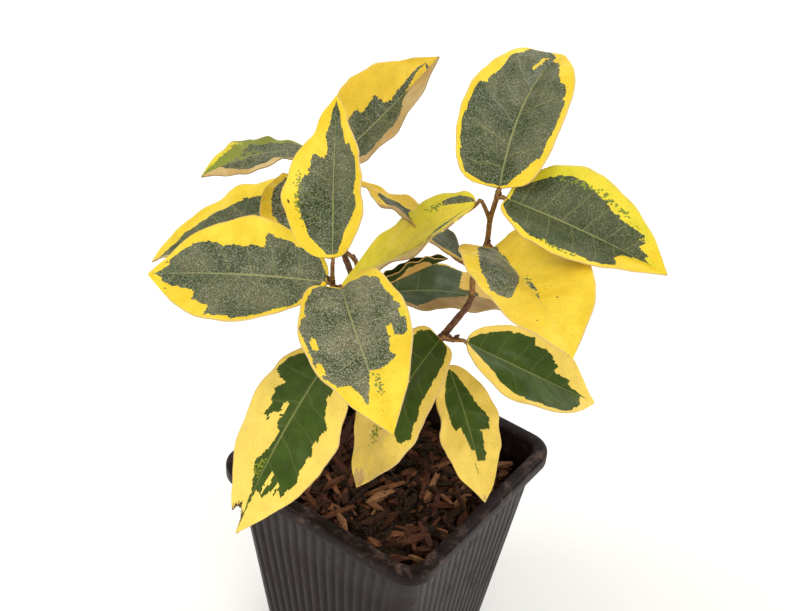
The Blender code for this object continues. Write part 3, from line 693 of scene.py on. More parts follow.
def apply_modifiers(obj):
    """Swaps the object's mesh for its evaluated one."""
    depsgraph = bpy.context.evaluated_depsgraph_get()
    done = bpy.data.meshes.new_from_object(obj.evaluated_get(depsgraph))
    obj.modifiers.clear()
    obj.data = done


def drift(x, y, z):
    """Smooth noise at a place, from about -1 to 1."""
    return noise.noise(Vector((x, y, z)))


def smooth_path(points, step):
    """Points about a step apart on a smooth curve through the given ones: millimetres in, metres out."""
    points = [Vector(p) for p in points]
    ends = [2 * points[0] - points[1], *points, 2 * points[-1] - points[-2]]
    out = []
    for a, b, c, d in zip(ends, ends[1:], ends[2:], ends[3:]):
        pieces = max(1, round((c - b).length / step))
        for k in range(pieces):
            t = k / pieces
            out.append(0.5 * ((2 * b) + (c - a) * t + (2 * a - 5 * b + 4 * c - d) * t * t
                              + (3 * b - a - 3 * c + d) * t ** 3))
    out.append(points[-1])
    return [p / 1000 for p in out]


def taper(number, radii):
    """Radii in metres falling evenly from the first to the last, which are in millimetres."""
    first, last = radii
    return [(first + (last - first) * k / (number - 1)) / 1000 for k in range(number)]


def ring_matrices(path, radii):
    """A matrix for each point of a path, that puts a unit circle round it, square to the path."""
    ways = [(b - a).normalized() for a, b in zip(path, path[1:])]
    ways = [ways[0]] + [(a + b).normalized() for a, b in zip(ways, ways[1:])] + [ways[-1]]
    turn = ways[0].to_track_quat("Z", "Y")
    out = []
    for k, (place, way, radius) in enumerate(zip(path, ways, radii)):
        if k:
            turn = ways[k - 1].rotation_difference(way) @ turn
        out.append(Matrix.Translation(place) @ turn.to_matrix().to_4x4() @ Matrix.Scale(radius, 4))
    return out


def extrude(bm, edges):
    """Extrudes a ring of edges, and returns the new vertices and the new ring of edges."""
    grown = bmesh.ops.extrude_edge_only(bm, edges=edges)["geom"]
    return ([e for e in grown if isinstance(e, bmesh.types.BMVert)],
            [e for e in grown if isinstance(e, bmesh.types.BMEdge)])


def sweep_tube(bm, path, radii, sides):
    """Adds a capped tube along a path, extruded from a circle, and returns its vertices."""
    spots = ring_matrices(path, radii)
    ring = bmesh.ops.create_circle(bm, cap_ends=True, segments=sides, radius=1, matrix=spots[0])["verts"]
    cap = ring[0].link_faces[0]
    cap.normal_flip()
    verts = list(ring)
    edges = list(cap.edges)
    for before, after in zip(spots, spots[1:]):
        ring, edges = extrude(bm, edges)
        bmesh.ops.transform(bm, matrix=after @ before.inverted(), verts=ring)
        verts += ring
    bmesh.ops.contextual_create(bm, geom=edges)
    return verts


def limb_paths(step):
    """The path and radii in metres of the stem and of the boughs, which begin on their host's axis."""
    built = {}
    for name, limb in LIMBS.items():
        points = list(limb.path)
        if limb.host:
            points.insert(0, axis_at(built[limb.host][0], limb.leaves_at))
        path = smooth_path(points, step * 1000)
        radii = taper(len(path), limb.radii)
        if not limb.host:
            ground = path[0].z
            for k, p in enumerate(path):
                low = max(0.0, 1 - (p.z - ground) * 1000 / FLARE_HEIGHT)
                radii[k] += (FLARE_RADIUS - limb.radii[0]) / 1000 * low ** 2
        built[name] = path, radii
    return built


def axis_at(path, height):
    """The point of a limb's axis at a height, in mm; its tip where the height is None."""
    if height is None:
        return path[-1] * 1000
    return min(path, key=lambda p: abs(p.z * 1000 - height)) * 1000


def leaf_axes(leaf):
    """The way the blade points where it starts, and its sideways and upward directions there."""
    heading, rise, roll = (math.radians(a) for a in (leaf.heading, leaf.rise, leaf.roll))
    along = Vector((math.cos(heading) * math.cos(rise), math.sin(heading) * math.cos(rise), math.sin(rise)))
    across = Vector((-math.sin(heading), math.cos(heading), 0))
    turn = Matrix.Rotation(roll, 3, along)
    return along, turn @ across, turn @ along.cross(across)


def leaf_midrib(leaf):
    """Place in metres, direction and axes at each of MIDRIB_STEPS + 1 points along the bending midrib."""
    along, across, up = leaf_axes(leaf)
    droop, sweep = math.radians(leaf.droop), math.radians(leaf.sweep)
    place = Vector(leaf.base) / 1000
    stations = []
    for k in range(MIDRIB_STEPS + 1):
        t = k / MIDRIB_STEPS
        level = along * math.cos(sweep * t) + across * math.sin(sweep * t)
        way = level * math.cos(droop * t) - up * math.sin(droop * t)
        side = across * math.cos(sweep * t) - along * math.sin(sweep * t)
        stations.append((place.copy(), way, side, way.cross(side)))
        place += way * leaf.length / 1000 / MIDRIB_STEPS
    return stations


def half_width(leaf, t):
    """Half the blade's width at a share of its length: blunt at the base and pointed at the tip."""
    u = t ** (math.log(0.5) / math.log(leaf.widest))
    power = leaf.blunt + (TIP_POINT - leaf.blunt) * u
    return leaf.width / 2000 * max(0.0, math.sin(math.pi * min(u, 1.0))) ** power


# Leaves

GROOVE_HALF = 0.0008  # half width of the groove along the midrib
MIDRIB_ROUND = 0.04  # share of the half width over which the fold at the midrib is rounded
LEFT_HALF = 11  # sets the noise of a leaf's left half apart from that of its right half
UPPER_BAND = (0.37, 0.62)  # foot and height of the upper sides' band in the bake map
UNDER_BAND = 0.35  # height of the undersides' band below it
BAND_SHARE = 0.47  # half width of a leaf in its strip of the band


def along_pairs(pairs, t):
    """The value at t on the line through pairs of t and value; 0 outside them."""
    for (t0, v0), (t1, v1) in zip(pairs, pairs[1:]):
        if t0 <= t <= t1:
            return v0 + (v1 - v0) * (t - t0) / (t1 - t0)
    return 0.0


def green_edge(paint, t, half, seed, jag):
    """How far the green reaches from the midrib, wandering and stepping in and out between the side veins."""
    reach = along_pairs(paint.left if half > 0 else paint.right, t)
    if not 0.02 < reach < 0.999:
        return reach
    row = half * 7 + seed
    steps = drift(t * 11, row, 0) + 0.7 * drift(t * 34, row, 5)
    steps += 0.5 * (noise.cell(Vector((t * 45, row, 3))) - 0.5)
    return max(0.0, min(1.0, reach + jag * steps))


def tone_at(paint, t, s, seed, jag):
    """The tone of the upper side at a share of the length and a signed share of the half width.

    The spots' edges wander, by broad and fine noise, and an olive one breaks up into freckles.
    """
    wander = drift(t * 24, s * 7, seed) + 0.7 * drift(t * 70, s * 19, seed)
    haze = 1.5 * (noise.cell(Vector((t * 190, s * 64, seed))) - 0.6)
    for at_t, at_s, long, wide, tone in paint.spots:
        frayed = {GONE: 0.15 * wander, OLIVE: 0.9 * (wander + haze)}.get(tone, 0.9 * wander)
        if ((t - at_t) / long) ** 2 + ((s - at_s) / wide) ** 2 < 1 + frayed:
            return tone
    half = 1 if s > 0 else -1
    gap = along_pairs(paint.left_gap if half > 0 else paint.right_gap, t)
    if gap < abs(s) < green_edge(paint, t, half, seed, jag):
        return GREEN
    return paint.margins[0 if half > 0 else 1]


def blade_relief(t0, t, s, reach, settings, seed):
    """How far a blade rises off its smooth form, by margin waves, broad swells, quilting and a groove.

    The side veins start at t0 on the midrib and slant to t, at a signed share s of the half width.
    """
    row = seed + (LEFT_HALF if s > 0 else 0)
    body = math.sin(math.pi * t)
    margin = 1.6 * drift(t * 7, row, 4) * abs(s) ** 2.5 * min(1.0, body * 2)
    swell = 1.8 * drift(t * 3.4, s * 1.3, seed) * min(1.0, abs(s) * 3) * body
    between_veins = math.cos(2 * math.pi * (SIDE_VEINS * t0 + (0.5 if s > 0 else 0)))
    quilt = between_veins * 4 * abs(s) * (1 - abs(s)) * body
    groove = math.exp(-(s * reach / GROOVE_HALF) ** 2) * (1 - t) * min(1, t * 8)
    return settings.wave * (margin + swell) + settings.quilt * quilt - settings.groove * groove


def blade_point(leaf, stations, t0, s, settings, seed):
    """Where a point of the blade's grid lies: on the source's blade, with a ragged margin and relief."""
    t = min(1.0, t0 + settings.slant * abs(s) * math.sin(math.pi * t0))
    place, way, side, up = stations[round(t * MIDRIB_STEPS)]
    row = seed + (LEFT_HALF if s > 0 else 0)
    edge = 1.6 * drift(t * 6, row, 0) + 0.5 * drift(t * 19, row, 2)
    reach = half_width(leaf, t) * (1 + settings.ragged * edge * s * s)
    fold = math.radians(leaf.fold)
    lobe = leaf.lobe * leaf.length / 1000 * s * s * t / LOBE_AT * math.exp(1 - t / LOBE_AT)
    out = math.sqrt(s * s + MIDRIB_ROUND ** 2) - MIDRIB_ROUND
    rise = out * reach * math.sin(fold) + blade_relief(t0, t, s, reach, settings, seed)
    return place + side * (s * reach * math.cos(fold)) + up * rise - way * lobe


def add_leaf(bm, leaf, paint, number, total, settings):
    """Adds a leaf's upper side to the bmesh: painted and mapped as a flat grid, and then put in its place."""
    maps = [bm.loops.layers.uv[title] for title in ("leaf", "OFBake")]
    age, scurf = (bm.faces.layers.float[title] for title in ("age", "scurf"))
    verts = bmesh.ops.create_grid(bm, x_segments=settings.rows, y_segments=settings.columns, size=1)["verts"]
    faces = list({face for vert in verts for face in vert.link_faces})
    seed = number * 3.7 + leaf.heading
    cell = 1.0 / settings.columns
    for vert in verts:
        row, s = (vert.co.x + 1) / 2, vert.co.y
        t = 0.7 * row + 0.15 * (1 - math.cos(math.pi * row))  # rows lie closer at both ends
        half = 1 if s > 0 else -1
        edge = green_edge(paint, t, half, seed, settings.jag)
        if abs(s) > cell and edge > cell and abs(abs(s) - edge) < cell:
            s = half * edge  # a column close to the green's edge moves onto it
        vert.co = (t, s, 0)
    gone = []
    for face in faces:
        middle = face.calc_center_median()
        tone = tone_at(paint, middle.x, middle.y, seed, settings.jag)
        if tone == GONE:
            gone.append(face)
            continue
        face.material_index = tone
        face[age] = paint.age
        face[scurf] = paint.scurf
        for loop in face.loops:
            t, s = loop.vert.co.xy
            loop[maps[0]].uv = (t, 0.5 + s / 2)
            loop[maps[1]].uv = ((number + 0.5 + BAND_SHARE * s) / total, UPPER_BAND[0] + UPPER_BAND[1] * t)
    bmesh.ops.delete(bm, geom=gone, context="FACES")
    stations = leaf_midrib(leaf)
    kept = [vert for vert in verts if vert.is_valid]
    for vert in kept:
        vert.co = blade_point(leaf, stations, vert.co.x, vert.co.y, settings, seed)
    bmesh.ops.remove_doubles(bm, verts=kept, dist=1e-6)


def build_leaves(name, mass, settings):
    """One piece of all the leaves of a mass, each a thin closed blade."""
    bm = bmesh.new()
    bm.loops.layers.uv.new("leaf")
    bm.loops.layers.uv.new("OFBake")
    bm.faces.layers.float.new("age")
    bm.faces.layers.float.new("scurf")
    for number, leaf in enumerate(mass.leaves):
        add_leaf(bm, leaf, PAINTS[name, leaf.name], number, len(mass.leaves), settings)
    made = finish_piece(name + "_blades", bm, leaf_materials(settings, name in YOUNG_MASSES), "foliage", name)
    wall = made.modifiers.new("Thickness", "SOLIDIFY")
    wall.thickness = settings.thick
    wall.offset = 0
    wall.material_offset = BROWN + 1
    wall.material_offset_rim = 1  # gold's rim is tan
    wall.use_quality_normals = True
    apply_modifiers(made)
    baked = made.data.uv_layers["OFBake"].uv
    for face in made.data.polygons:
        if face.material_index > BROWN:
            for k in face.loop_indices:
                u, v = baked[k].vector
                baked[k].vector = (u, (v - UPPER_BAND[0]) / UPPER_BAND[1] * UNDER_BAND)


# Shoots, petioles and buds


def petiole_path(leaf, start):
    """The petiole, from its mass's stem to the blade and on under the midrib."""
    base = Vector(leaf.base)
    bend = base - leaf_axes(leaf)[0] * (base - start).length * PETIOLE_BEND
    stations = leaf_midrib(leaf)
    inner = [stations[round(PETIOLE_SUNK * part * MIDRIB_STEPS)] for part, _ in PETIOLE_DROPS]
    below = [place * 1000 - up * drop for (place, _, _, up), (_, drop) in zip(inner, PETIOLE_DROPS)]
    return smooth_path([start, bend, base - inner[0][3] * PETIOLE_JOIN, *below], PETIOLE_STEP)


def add_bud(bm, place, way, length):
    """A plump pointed bud of a few overlapping scales."""
    turn = way.to_track_quat("Z", "Y").to_matrix().to_4x4()
    ball = bmesh.ops.create_uvsphere(bm, u_segments=14, v_segments=14, radius=1)["verts"]
    for vert in ball:
        x, y, z = vert.co
        scales = 1 + 0.1 * math.sin(3 * math.atan2(y, x) + 5 * z)  # three, twisting upwards
        point = 1 - 0.45 * max(0.0, z)
        wide = scales * point * BUD_PLUMP
        vert.co = Vector((x * wide, y * wide, z * 0.5 + BUD_RISE)) * length
    bmesh.ops.transform(bm, matrix=Matrix.Translation(place) @ turn, verts=ball)
    return ball


def roughen(verts, depth, grain, seed):
    """Pushes vertices in and out along their normals by two sizes of noise."""
    for vert in verts:
        place = vert.co / grain
        coarse = noise.noise(place + Vector((seed, 0, 0)))
        fine = noise.noise(place * 2.3 + Vector((0, seed, 0)))
        vert.co += vert.normal * depth * (coarse + 0.5 * fine)


def build_shoots(name, mass, host, settings):
    """A mass's stem with its petioles and buds, as one piece."""
    points = [axis_at(host[0], mass.leaves_at)] + [Vector(p) for p in mass.path]
    bm = bmesh.new()
    path = smooth_path(points, SHOOT_STEP)
    sweep_tube(bm, path, taper(len(path), mass.radii), SHOOT_SIDES)
    for leaf in mass.leaves:
        stalk = petiole_path(leaf, points[leaf.joint])
        radii = [r * (1 + PETIOLE_FOOT * math.exp(-k * PETIOLE_STEP / PETIOLE_FOOT_LENGTH))
                 for k, r in enumerate(taper(len(stalk), PETIOLE_RADII))]
        sweep_tube(bm, stalk, radii, PETIOLE_SIDES)
    bm.normal_update()
    roughen(bm.verts, depth=0.0001, grain=0.0009, seed=3)
    rng = random.Random(name)
    buds = []
    for leaf in mass.leaves:
        joint = points[leaf.joint] / 1000
        way = (Vector(leaf.base) / 1000 - joint).normalized() + Vector((0, 0, 1.2))
        buds += add_bud(bm, joint + way.normalized() * BUD_OUT, way, rng.uniform(*BUD_LENGTHS))
    if mass.leaves_at is None:
        buds += add_bud(bm, path[-1], (path[-1] - path[-3]).normalized(), TIP_BUD_LENGTH)
    for face in {face for vert in buds for face in vert.link_faces}:
        face.material_index = 1
    bmesh.ops.recalc_face_normals(bm, faces=bm.faces)
    skins = [bark_material("shoot", settings.shoot, settings.shoot, 0.0008),
             bark_material("bud", settings.bud, settings.bud, 0.0006)]
    finish_piece(name + "_shoots", bm, skins, "foliage", name)


# Stem and boughs


def bark_material(name, low, high, flake):
    """Scaly young bark, with flakes of a given size, from a low colour to a high one up the plant."""
    made = bpy.data.materials.get(name)
    if made:
        return made
    made, tree, shader = new_material(name, 0.6, Specular_IOR_Level=0.25)
    scales = add_node(tree, "ShaderNodeGroup", {"Size": flake}, node_tree=scales_group()).outputs
    skin = blend(tree, ramp(tree, height_up(tree), 0.12, 0.18), low, high)
    light = blend(tree, 0.12, skin, (0.62, 0.46, 0.26))
    dark = blend(tree, 1.0, skin, (0.30, 0.26, 0.24), "MULTIPLY")
    skin = cover(tree, blend(tree, scales["Streaks"], skin, light), dark, scales["Flakes"], 0.7)
    rough = ramp(tree, scales["Streaks"], 0, 1, 0.5, 0.75)
    finish_material(tree, shader, skin, rough, scales["Relief"], 0.0002)
    return made


def build_limb(name, path, radii, settings):
    """A stem or bough with scales and faint rings of bark in relief, swollen where shoots leave it."""
    bm = bmesh.new()
    joints = [mass.leaves_at / 1000 for mass in MASSES.values() if mass.host == name and mass.leaves_at]
    joints += [limb.leaves_at / 1000 for limb in LIMBS.values() if limb.host == name]
    swells = [sum(SWELL * math.exp(-((p.z - z) / SWELL_LENGTH) ** 2) for z in joints) for p in path]
    verts = sweep_tube(bm, path, [r * (1 + more) for r, more in zip(radii, swells)], settings.sides)
    bm.normal_update()
    for vert in verts:
        x, y, z = vert.co * 1000
        scales = drift(x * 1.1, y * 1.1, z * 0.55) + 0.5 * drift(x * 2.6, y * 2.6, z * 1.3)
        rings = 0.35 * max(0.0, math.sin(z * 0.9 + 1.5 * noise.noise(Vector((x, y, z)) * 0.2)) - 0.8)
        vert.co += vert.normal * settings.relief * (scales + rings)
    bmesh.ops.recalc_face_normals(bm, faces=bm.faces)
    bark = bark_material("stem_bark", settings.low, settings.high, 0.0011)
    finish_piece(name + "_bark", bm, [bark], "bark", name)


# Pot

POINTS_A_RIB = 6
CORNER_POINTS = 14


def square_point(side, corner, k, total, ribs, depth):
    """Point k of a rounded square's outline, with ribs on its straight sides."""
    quarter, place = divmod(k, total // 4)
    bend = total // 4 - ribs * POINTS_A_RIB
    flat = side / 2 - corner
    if place < bend:
        a = place / bend * math.pi / 2
        x, y = flat + corner * math.cos(a), flat + corner * math.sin(a)
    else:
        part = (place - bend) / (ribs * POINTS_A_RIB)
        wave = abs(math.sin(math.pi * part * ribs)) ** 0.6
        x, y = flat - 2 * flat * part, side / 2 - depth * (1 - wave)
    turn = Matrix.Rotation(quarter * math.pi / 2, 2)
    return turn @ Vector((x, y))


def pot_material(settings):
    """Black moulded plastic, dusty and gritty, and scuffed on its lip."""
    made, tree, shader = new_material("pot_plastic", 0.42, Specular_IOR_Level=0.1)
    place = object_place(tree)
    dust = ramp(tree, noise_at(tree, place, 90.0, 5.0, 0.65), 0.45, 0.75)
    grit = ramp(tree, noise_at(tree, place, 1400.0, 2.0), 0.6, 0.72)
    scuffs = ramp(tree, noise_at(tree, place, 180.0, 5.0, 0.65), 0.48, 0.72)
    lip = ramp(tree, height_up(tree), settings.height - settings.rim_depth * 0.9, settings.height)
    skin = settings.plastic
    for mask, most in ((dust, 0.08), (grit, 0.08), (sums(tree, "MULTIPLY", scuffs, lip), 0.4)):
        skin = cover(tree, skin, settings.scuff, mask, most)
    rough = ramp(tree, dust, 0, 1, 0.36, 0.6)
    finish_material(tree, shader, skin, rough, noise_at(tree, place, 900.0, 3.0), 0.00005, 0.5)
    return made


def pot_rings(settings):
    """The pot's rings from under its foot, up its wall, over its lip and down inside to its floor.

    Each is the side and the corner radius of a rounded square, its height, and how far its ribs stand out.
    """
    ease, high, lip = settings.rim_ease, settings.height, settings.height - settings.rim_depth
    corner, inner_corner = settings.wall_corner, settings.wall_corner - settings.wall_thick

    def wall(z):
        return settings.wall_foot + (settings.wall_top - settings.wall_foot) * z / lip

    def hollow(z):
        return wall(z) - 2 * (settings.wall_thick + settings.rib_depth)

    def lip_ring(inset, z):
        return settings.rim_side - 2 * inset, settings.rim_corner - inset, z, 0

    # the foot, eased into the ribbed wall, whose ribs end under the lip
    rings = [(wall(0) - 0.003, corner, 0, 0), (wall(0) - 0.0008, corner, 0.0003, 0.3)]
    rings += [(wall(z), corner, z, 1) for z in (0.0012, 0.02, 0.045, 0.07, lip - 0.0004)]
    rings += [(wall(lip) + 0.0006, corner, lip, 0.4), lip_ring(ease, lip)]
    # the lip, rounded below and above in eighths of a half turn
    bends = [(1 - math.sin(k / 8 * math.pi), 1 - math.cos(k / 8 * math.pi)) for k in range(5)]
    rings += [lip_ring(ease * part, lip + ease * rise) for part, rise in bends[1:]]
    rings += [lip_ring(ease * part, high - ease * drop) for drop, part in bends]
    # the mouth's eased inner edge, and the hollow
    top = hollow(high)
    rings += [(top + 0.002, inner_corner + 0.001, high, 0), (top + 0.0005, inner_corner, high - 0.0003, 0),
              (top, inner_corner, high - 0.001, 0)]
    return rings + [(hollow(z), inner_corner, z, 0) for z in (0.08, 0.05, settings.floor_thick)]


def cut_drains(pot, settings):
    """Cuts the four drain holes through the pot's floor."""
    cutters = bpy.data.collections.new("drain_cutters")
    for x in (-settings.drain_out, settings.drain_out):
        for y in (-settings.drain_out, settings.drain_out):
            bm = bmesh.new()
            bmesh.ops.create_cone(bm, cap_ends=True, segments=32, radius1=settings.drain_radius,
                                  radius2=settings.drain_radius, depth=settings.floor_thick * 4,
                                  matrix=Matrix.Translation((x, y, settings.floor_thick / 2)))
            new_object("drain_hole", bm, cutters)
    cut = pot.modifiers.new("Drain holes", "BOOLEAN")
    cut.operation = "DIFFERENCE"
    cut.operand_type = "COLLECTION"
    cut.collection = cutters
    cut.solver = "EXACT"
    apply_modifiers(pot)
    for hole in list(cutters.objects):
        bpy.data.objects.remove(hole)
    bpy.data.collections.remove(cutters)


def build_pot(settings):
    """The pot: a rounded square grown ring by ring from a circle, with fine ribs and a rolled lip."""
    total = 4 * (settings.ribs * POINTS_A_RIB + CORNER_POINTS)
    bm = bmesh.new()
    number = bm.verts.layers.int.new("number")
    ring = bmesh.ops.create_circle(bm, cap_ends=True, segments=total, radius=settings.wall_foot / 2)["verts"]
    for k, vert in enumerate(sorted(ring, key=lambda v: math.atan2(v.co.y, v.co.x) % (2 * math.pi))):
        vert[number] = k
    edges = list(ring[0].link_faces[0].edges)
    for k, (side, corner, z, depth) in enumerate(pot_rings(settings)):
        if k:
            ring, edges = extrude(bm, edges)
        for vert in ring:
            x, y = square_point(side, corner, vert[number], total, settings.ribs, settings.rib_depth * depth)
            vert.co = (x, y, z)
    bmesh.ops.contextual_create(bm, geom=edges)
    bmesh.ops.recalc_face_normals(bm, faces=bm.faces)
    cut_drains(finish_piece("nursery_pot", bm, [pot_material(settings)], "pot", "pot"), settings)


# Potting mix

MIX_GRID = 150  # faces along each side of the mix
MIX_SINK = 0.0022  # how far the lumps' middle height lies under the level
MIX_BLOCK = 0.025  # depth of the closed block under the surface
MIX_TAPER = 0.93  # the block's foot to its top
SKIRT_START = 0.85  # share of the way out to the wall where the mix starts to drop
CHIP_SPREAD = 0.0365  # how far out along X and Y chips are strewn
CHIP_REACH = 0.0375  # how far out a chip's end may reach
STEM_CLEAR = 0.0035  # how near the stem's axis a chip's end may come
CRUMB_LENGTHS = (0.0006, 0.0018)
CHIP_WIDTHS = (0.0014, 0.0034)
CHIP_LIFTS = (-0.0004, 0.0034)  # of a chip's middle over the mix
PILED = 0.001  # chips lifted higher lie on others, and get lighter tones on the whole, as painted light; lower chips get darker tones, as painted shade
LYING = 0.008  # chips longer than this lie flatter
# Chip colours: real bark tones, with the lightest partly painted highlights and the near-black one painted
# shade in the gaps between chips
CHIP_TONES_LIT_AND_SHADED = ((106, 64, 42), (60, 34, 25), (142, 92, 62), (28, 16, 12), (168, 120, 82), (84, 46, 34))
# Odds of each tone for piled chips, which mostly get the lit tones, and for low chips, which mostly get the
# shaded ones: painted light and shade
PILED_LIT_ODDS, LOW_SHADED_ODDS = (5, 6, 2, 7, 1, 5), (2, 5, 1, 9, 0, 4)


def mix_material(name, dark, light, threads):
    """Moist bark: fibrous, with darker and lighter lumps and pale threads."""
    made, tree, shader = new_material(name, 0.85, Specular_IOR_Level=0.1)
    fibres = add_node(tree, "ShaderNodeGroup", {"Fineness": 1.0}, node_tree=fibre_group()).outputs
    skin = blend(tree, fibres["Lumps"], dark, light)
    skin = cover(tree, skin, blend(tree, 0.3, skin, (0.38, 0.24, 0.15)), fibres["Threads"], threads)
    rough = ramp(tree, fibres["Lumps"], 0, 1, 0.7, 0.95)
    finish_material(tree, shader, skin, rough, fibres["Relief"], 0.0006)
    return made


def mix_height(x, y, settings):
    """How high the mix stands at a place: lumpy, and lower at the pot's wall."""
    out = max(abs(x), abs(y)) / settings.wall_gap
    coarse, middling, fine = (noise.noise(Vector((x, y, row)) * scale)
                              for row, scale in ((0, 160), (4, 420), (8, 1100)))
    return (settings.level - MIX_SINK - settings.skirt * max(0.0, out - SKIRT_START) / (1 - SKIRT_START)
            + settings.lumps * (coarse + 0.5 * middling + 0.25 * fine))


def build_mix(settings, pot):
    """The surface of the potting mix, on a closed block inside the pot."""
    lip = pot.height - pot.rim_depth
    side = pot.wall_foot + (pot.wall_top - pot.wall_foot) * settings.level / lip
    side -= 2 * (pot.wall_thick + pot.rib_depth)
    corner = pot.wall_corner - pot.wall_thick
    flat = side / 2 - corner
    bm = bmesh.new()
    verts = bmesh.ops.create_grid(bm, x_segments=MIX_GRID, y_segments=MIX_GRID, size=side / 2)["verts"]
    rim = [e for e in bm.edges if e.is_boundary]
    for vert in verts:
        x, y, _ = vert.co
        far = Vector((max(0.0, abs(x) - flat), max(0.0, abs(y) - flat)))
        if far.length > corner:
            pull = far * (corner / far.length - 1)
            x += math.copysign(-pull.x, -x)
            y += math.copysign(-pull.y, -y)
        vert.co = (x, y, mix_height(x, y, settings))
    foot, rim = extrude(bm, rim)
    for vert in foot:
        vert.co = (vert.co.x * MIX_TAPER, vert.co.y * MIX_TAPER, settings.level - MIX_BLOCK)
    bmesh.ops.contextual_create(bm, geom=rim)
    bmesh.ops.recalc_face_normals(bm, faces=bm.faces)
    # the mix's tones are partly painted shade of the gaps between chips and of the leaves above
    finish_piece("mix_surface", bm, [mix_material("moist_mix", settings.dark, settings.light, 0.25)],
                 "potting_mix", "potting_mix")


def chip_block(crumb, rng):
    """A bmesh of a rough chip or crumb about 1 long, wide and thick, slimmer at its ends."""
    chip = bmesh.new()
    if crumb:
        bmesh.ops.create_icosphere(chip, subdivisions=1, radius=0.5)
    else:
        bmesh.ops.create_cube(chip, size=1)
        bmesh.ops.subdivide_edges(chip, edges=chip.edges, cuts=1, use_grid_fill=True)
    for vert in chip.verts:
        c = vert.co
        slim = 1 - 0.45 * abs(c.x * 2) ** 3
        rough = Vector([rng.uniform(-0.07, 0.07) for _ in range(3)])
        vert.co = Vector((c.x, c.y * slim, c.z * slim)) + rough
    return chip


def build_chips(settings):
    """Bark chips and crumbs strewn over the mix, joined as one piece of several tones."""
    rng = random.Random(SEED)
    foot = Vector(LIMBS["main_stem"].path[0]).xy / 1000
    # the chips' tones, with painted highlights and painted shade among them
    tones = [mix_material(f"bark_chip_{k + 1}", tuple(c * 0.55 for c in srgb(*tone)), srgb(*tone), 0.45)
             for k, tone in enumerate(CHIP_TONES_LIT_AND_SHADED)]
    strewn = bpy.data.meshes.new("chip")
    bm = bmesh.new()
    for number in range(settings.chips + settings.crumbs):
        crumb = number >= settings.chips
        x, y = (rng.uniform(-CHIP_SPREAD, CHIP_SPREAD) for _ in range(2))
        long = rng.uniform(*CRUMB_LENGTHS) if crumb else settings.chip_longest * rng.uniform(0.25, 1) ** 1.3
        wide = long * rng.uniform(0.5, 0.9) if crumb else min(long * 0.6, rng.uniform(*CHIP_WIDTHS))
        thick = wide * rng.uniform(0.5, 0.95)
        by_wall = max(abs(x), abs(y)) + long * 0.42 > CHIP_REACH
        if by_wall or (Vector((x, y)) - foot).length < STEM_CLEAR + long * 0.4:
            continue
        lift = 0 if crumb else rng.uniform(*CHIP_LIFTS)
        lean = 0.35 if long > LYING else 0.7
        place = Matrix.Translation((x, y, mix_height(x, y, settings) + lift + thick * 0.2))
        for turn, axis in ((rng.uniform(0, math.pi), "Z"), (rng.gauss(0, lean * 0.5), "Y"),
                           (rng.gauss(0, lean), "X")):
            place = place @ Matrix.Rotation(turn, 4, axis)
        chip = chip_block(crumb, rng)
        bmesh.ops.transform(chip, matrix=place @ Matrix.Diagonal((long, wide, thick, 1)), verts=chip.verts)
        # piled chips mostly take lit tones and low chips shaded tones: painted light and shade
        tone = rng.choices(range(len(tones)), PILED_LIT_ODDS if lift > PILED else LOW_SHADED_ODDS)[0]
        for face in chip.faces:
            face.material_index = tone
        chip.to_mesh(strewn)
        chip.free()
        bm.from_mesh(strewn)
    bpy.data.meshes.remove(strewn)
    bmesh.ops.recalc_face_normals(bm, faces=bm.faces)
    finish_piece("bark_chips", bm, tones, "potting_mix", "potting_mix").data.shade_flat()


# Stage

# The soft lights: their places, powers and widths
LIGHTS = {
    "key": ((-0.7, -0.75, 1.25), 8.8, 0.8),
    "fill": ((1.1, -0.5, 0.7), 5.4, 1.0),
    "back": ((0.1, 1.1, 0.9), 6.5, 0.9),
}
LIT_MIDDLE = (0, 0, 0.15)  # the point that they face
SKY = 0.73  # strength of the pale sky


def stage_material(settings):
    """A pale floor with hardly darker clouds."""
    made, tree, shader = new_material("pale_floor", 0.8)
    clouds = ramp(tree, noise_at(tree, object_place(tree), 3.0), 0.3, 0.7)
    tone = blend(tree, clouds, settings.floor, tuple(c * 0.985 for c in settings.floor))
    tree.links.new(tone, shader.inputs["Base Color"])
    return made


def build_stage(settings):
    """A pale floor, soft lights and the camera at the photograph's angle."""
    scene = bpy.context.scene
    bm = bmesh.new()
    bmesh.ops.create_grid(bm, x_segments=1, y_segments=1, size=3)
    floor = new_object("floor", bm, scene.collection)
    floor.data.materials.append(stage_material(settings))
    for name, (place, power, width) in LIGHTS.items():
        light = bpy.data.lights.new(name, "AREA")
        light.energy = power * settings.light
        light.size = width
        lamp = bpy.data.objects.new(name, light)
        lamp.location = place
        lamp.rotation_euler = (Vector(place) - Vector(LIT_MIDDLE)).to_track_quat("Z", "Y").to_euler()
        scene.collection.objects.link(lamp)
    scene.world = bpy.data.worlds.new("soft_room")
    scene.world.use_nodes = True
    sky = scene.world.node_tree.nodes["Background"]
    sky.inputs["Color"].default_value = (1, 0.995, 0.985, 1)
    sky.inputs["Strength"].default_value = SKY * settings.light
    back = Vector((math.sin(settings.azimuth) * math.cos(settings.elevation),
                   -math.cos(settings.azimuth) * math.cos(settings.elevation), math.sin(settings.elevation)))
    camera = bpy.data.objects.new("camera", bpy.data.cameras.new("camera"))
    camera.data.lens = settings.lens
    camera.data.sensor_width = 36
    camera.data.clip_start = 0.01
    camera.location = Vector(settings.target) + back * settings.distance
    turn = (-back).to_track_quat("-Z", "Y") @ Quaternion((0, 0, 1), settings.roll)
    camera.rotation_euler = turn.to_euler()
    scene.collection.objects.link(camera)
    scene.camera = camera
    scene.view_settings.view_transform = "Standard"  # the photograph's plain bright colours


# Operators, one for each group of pieces


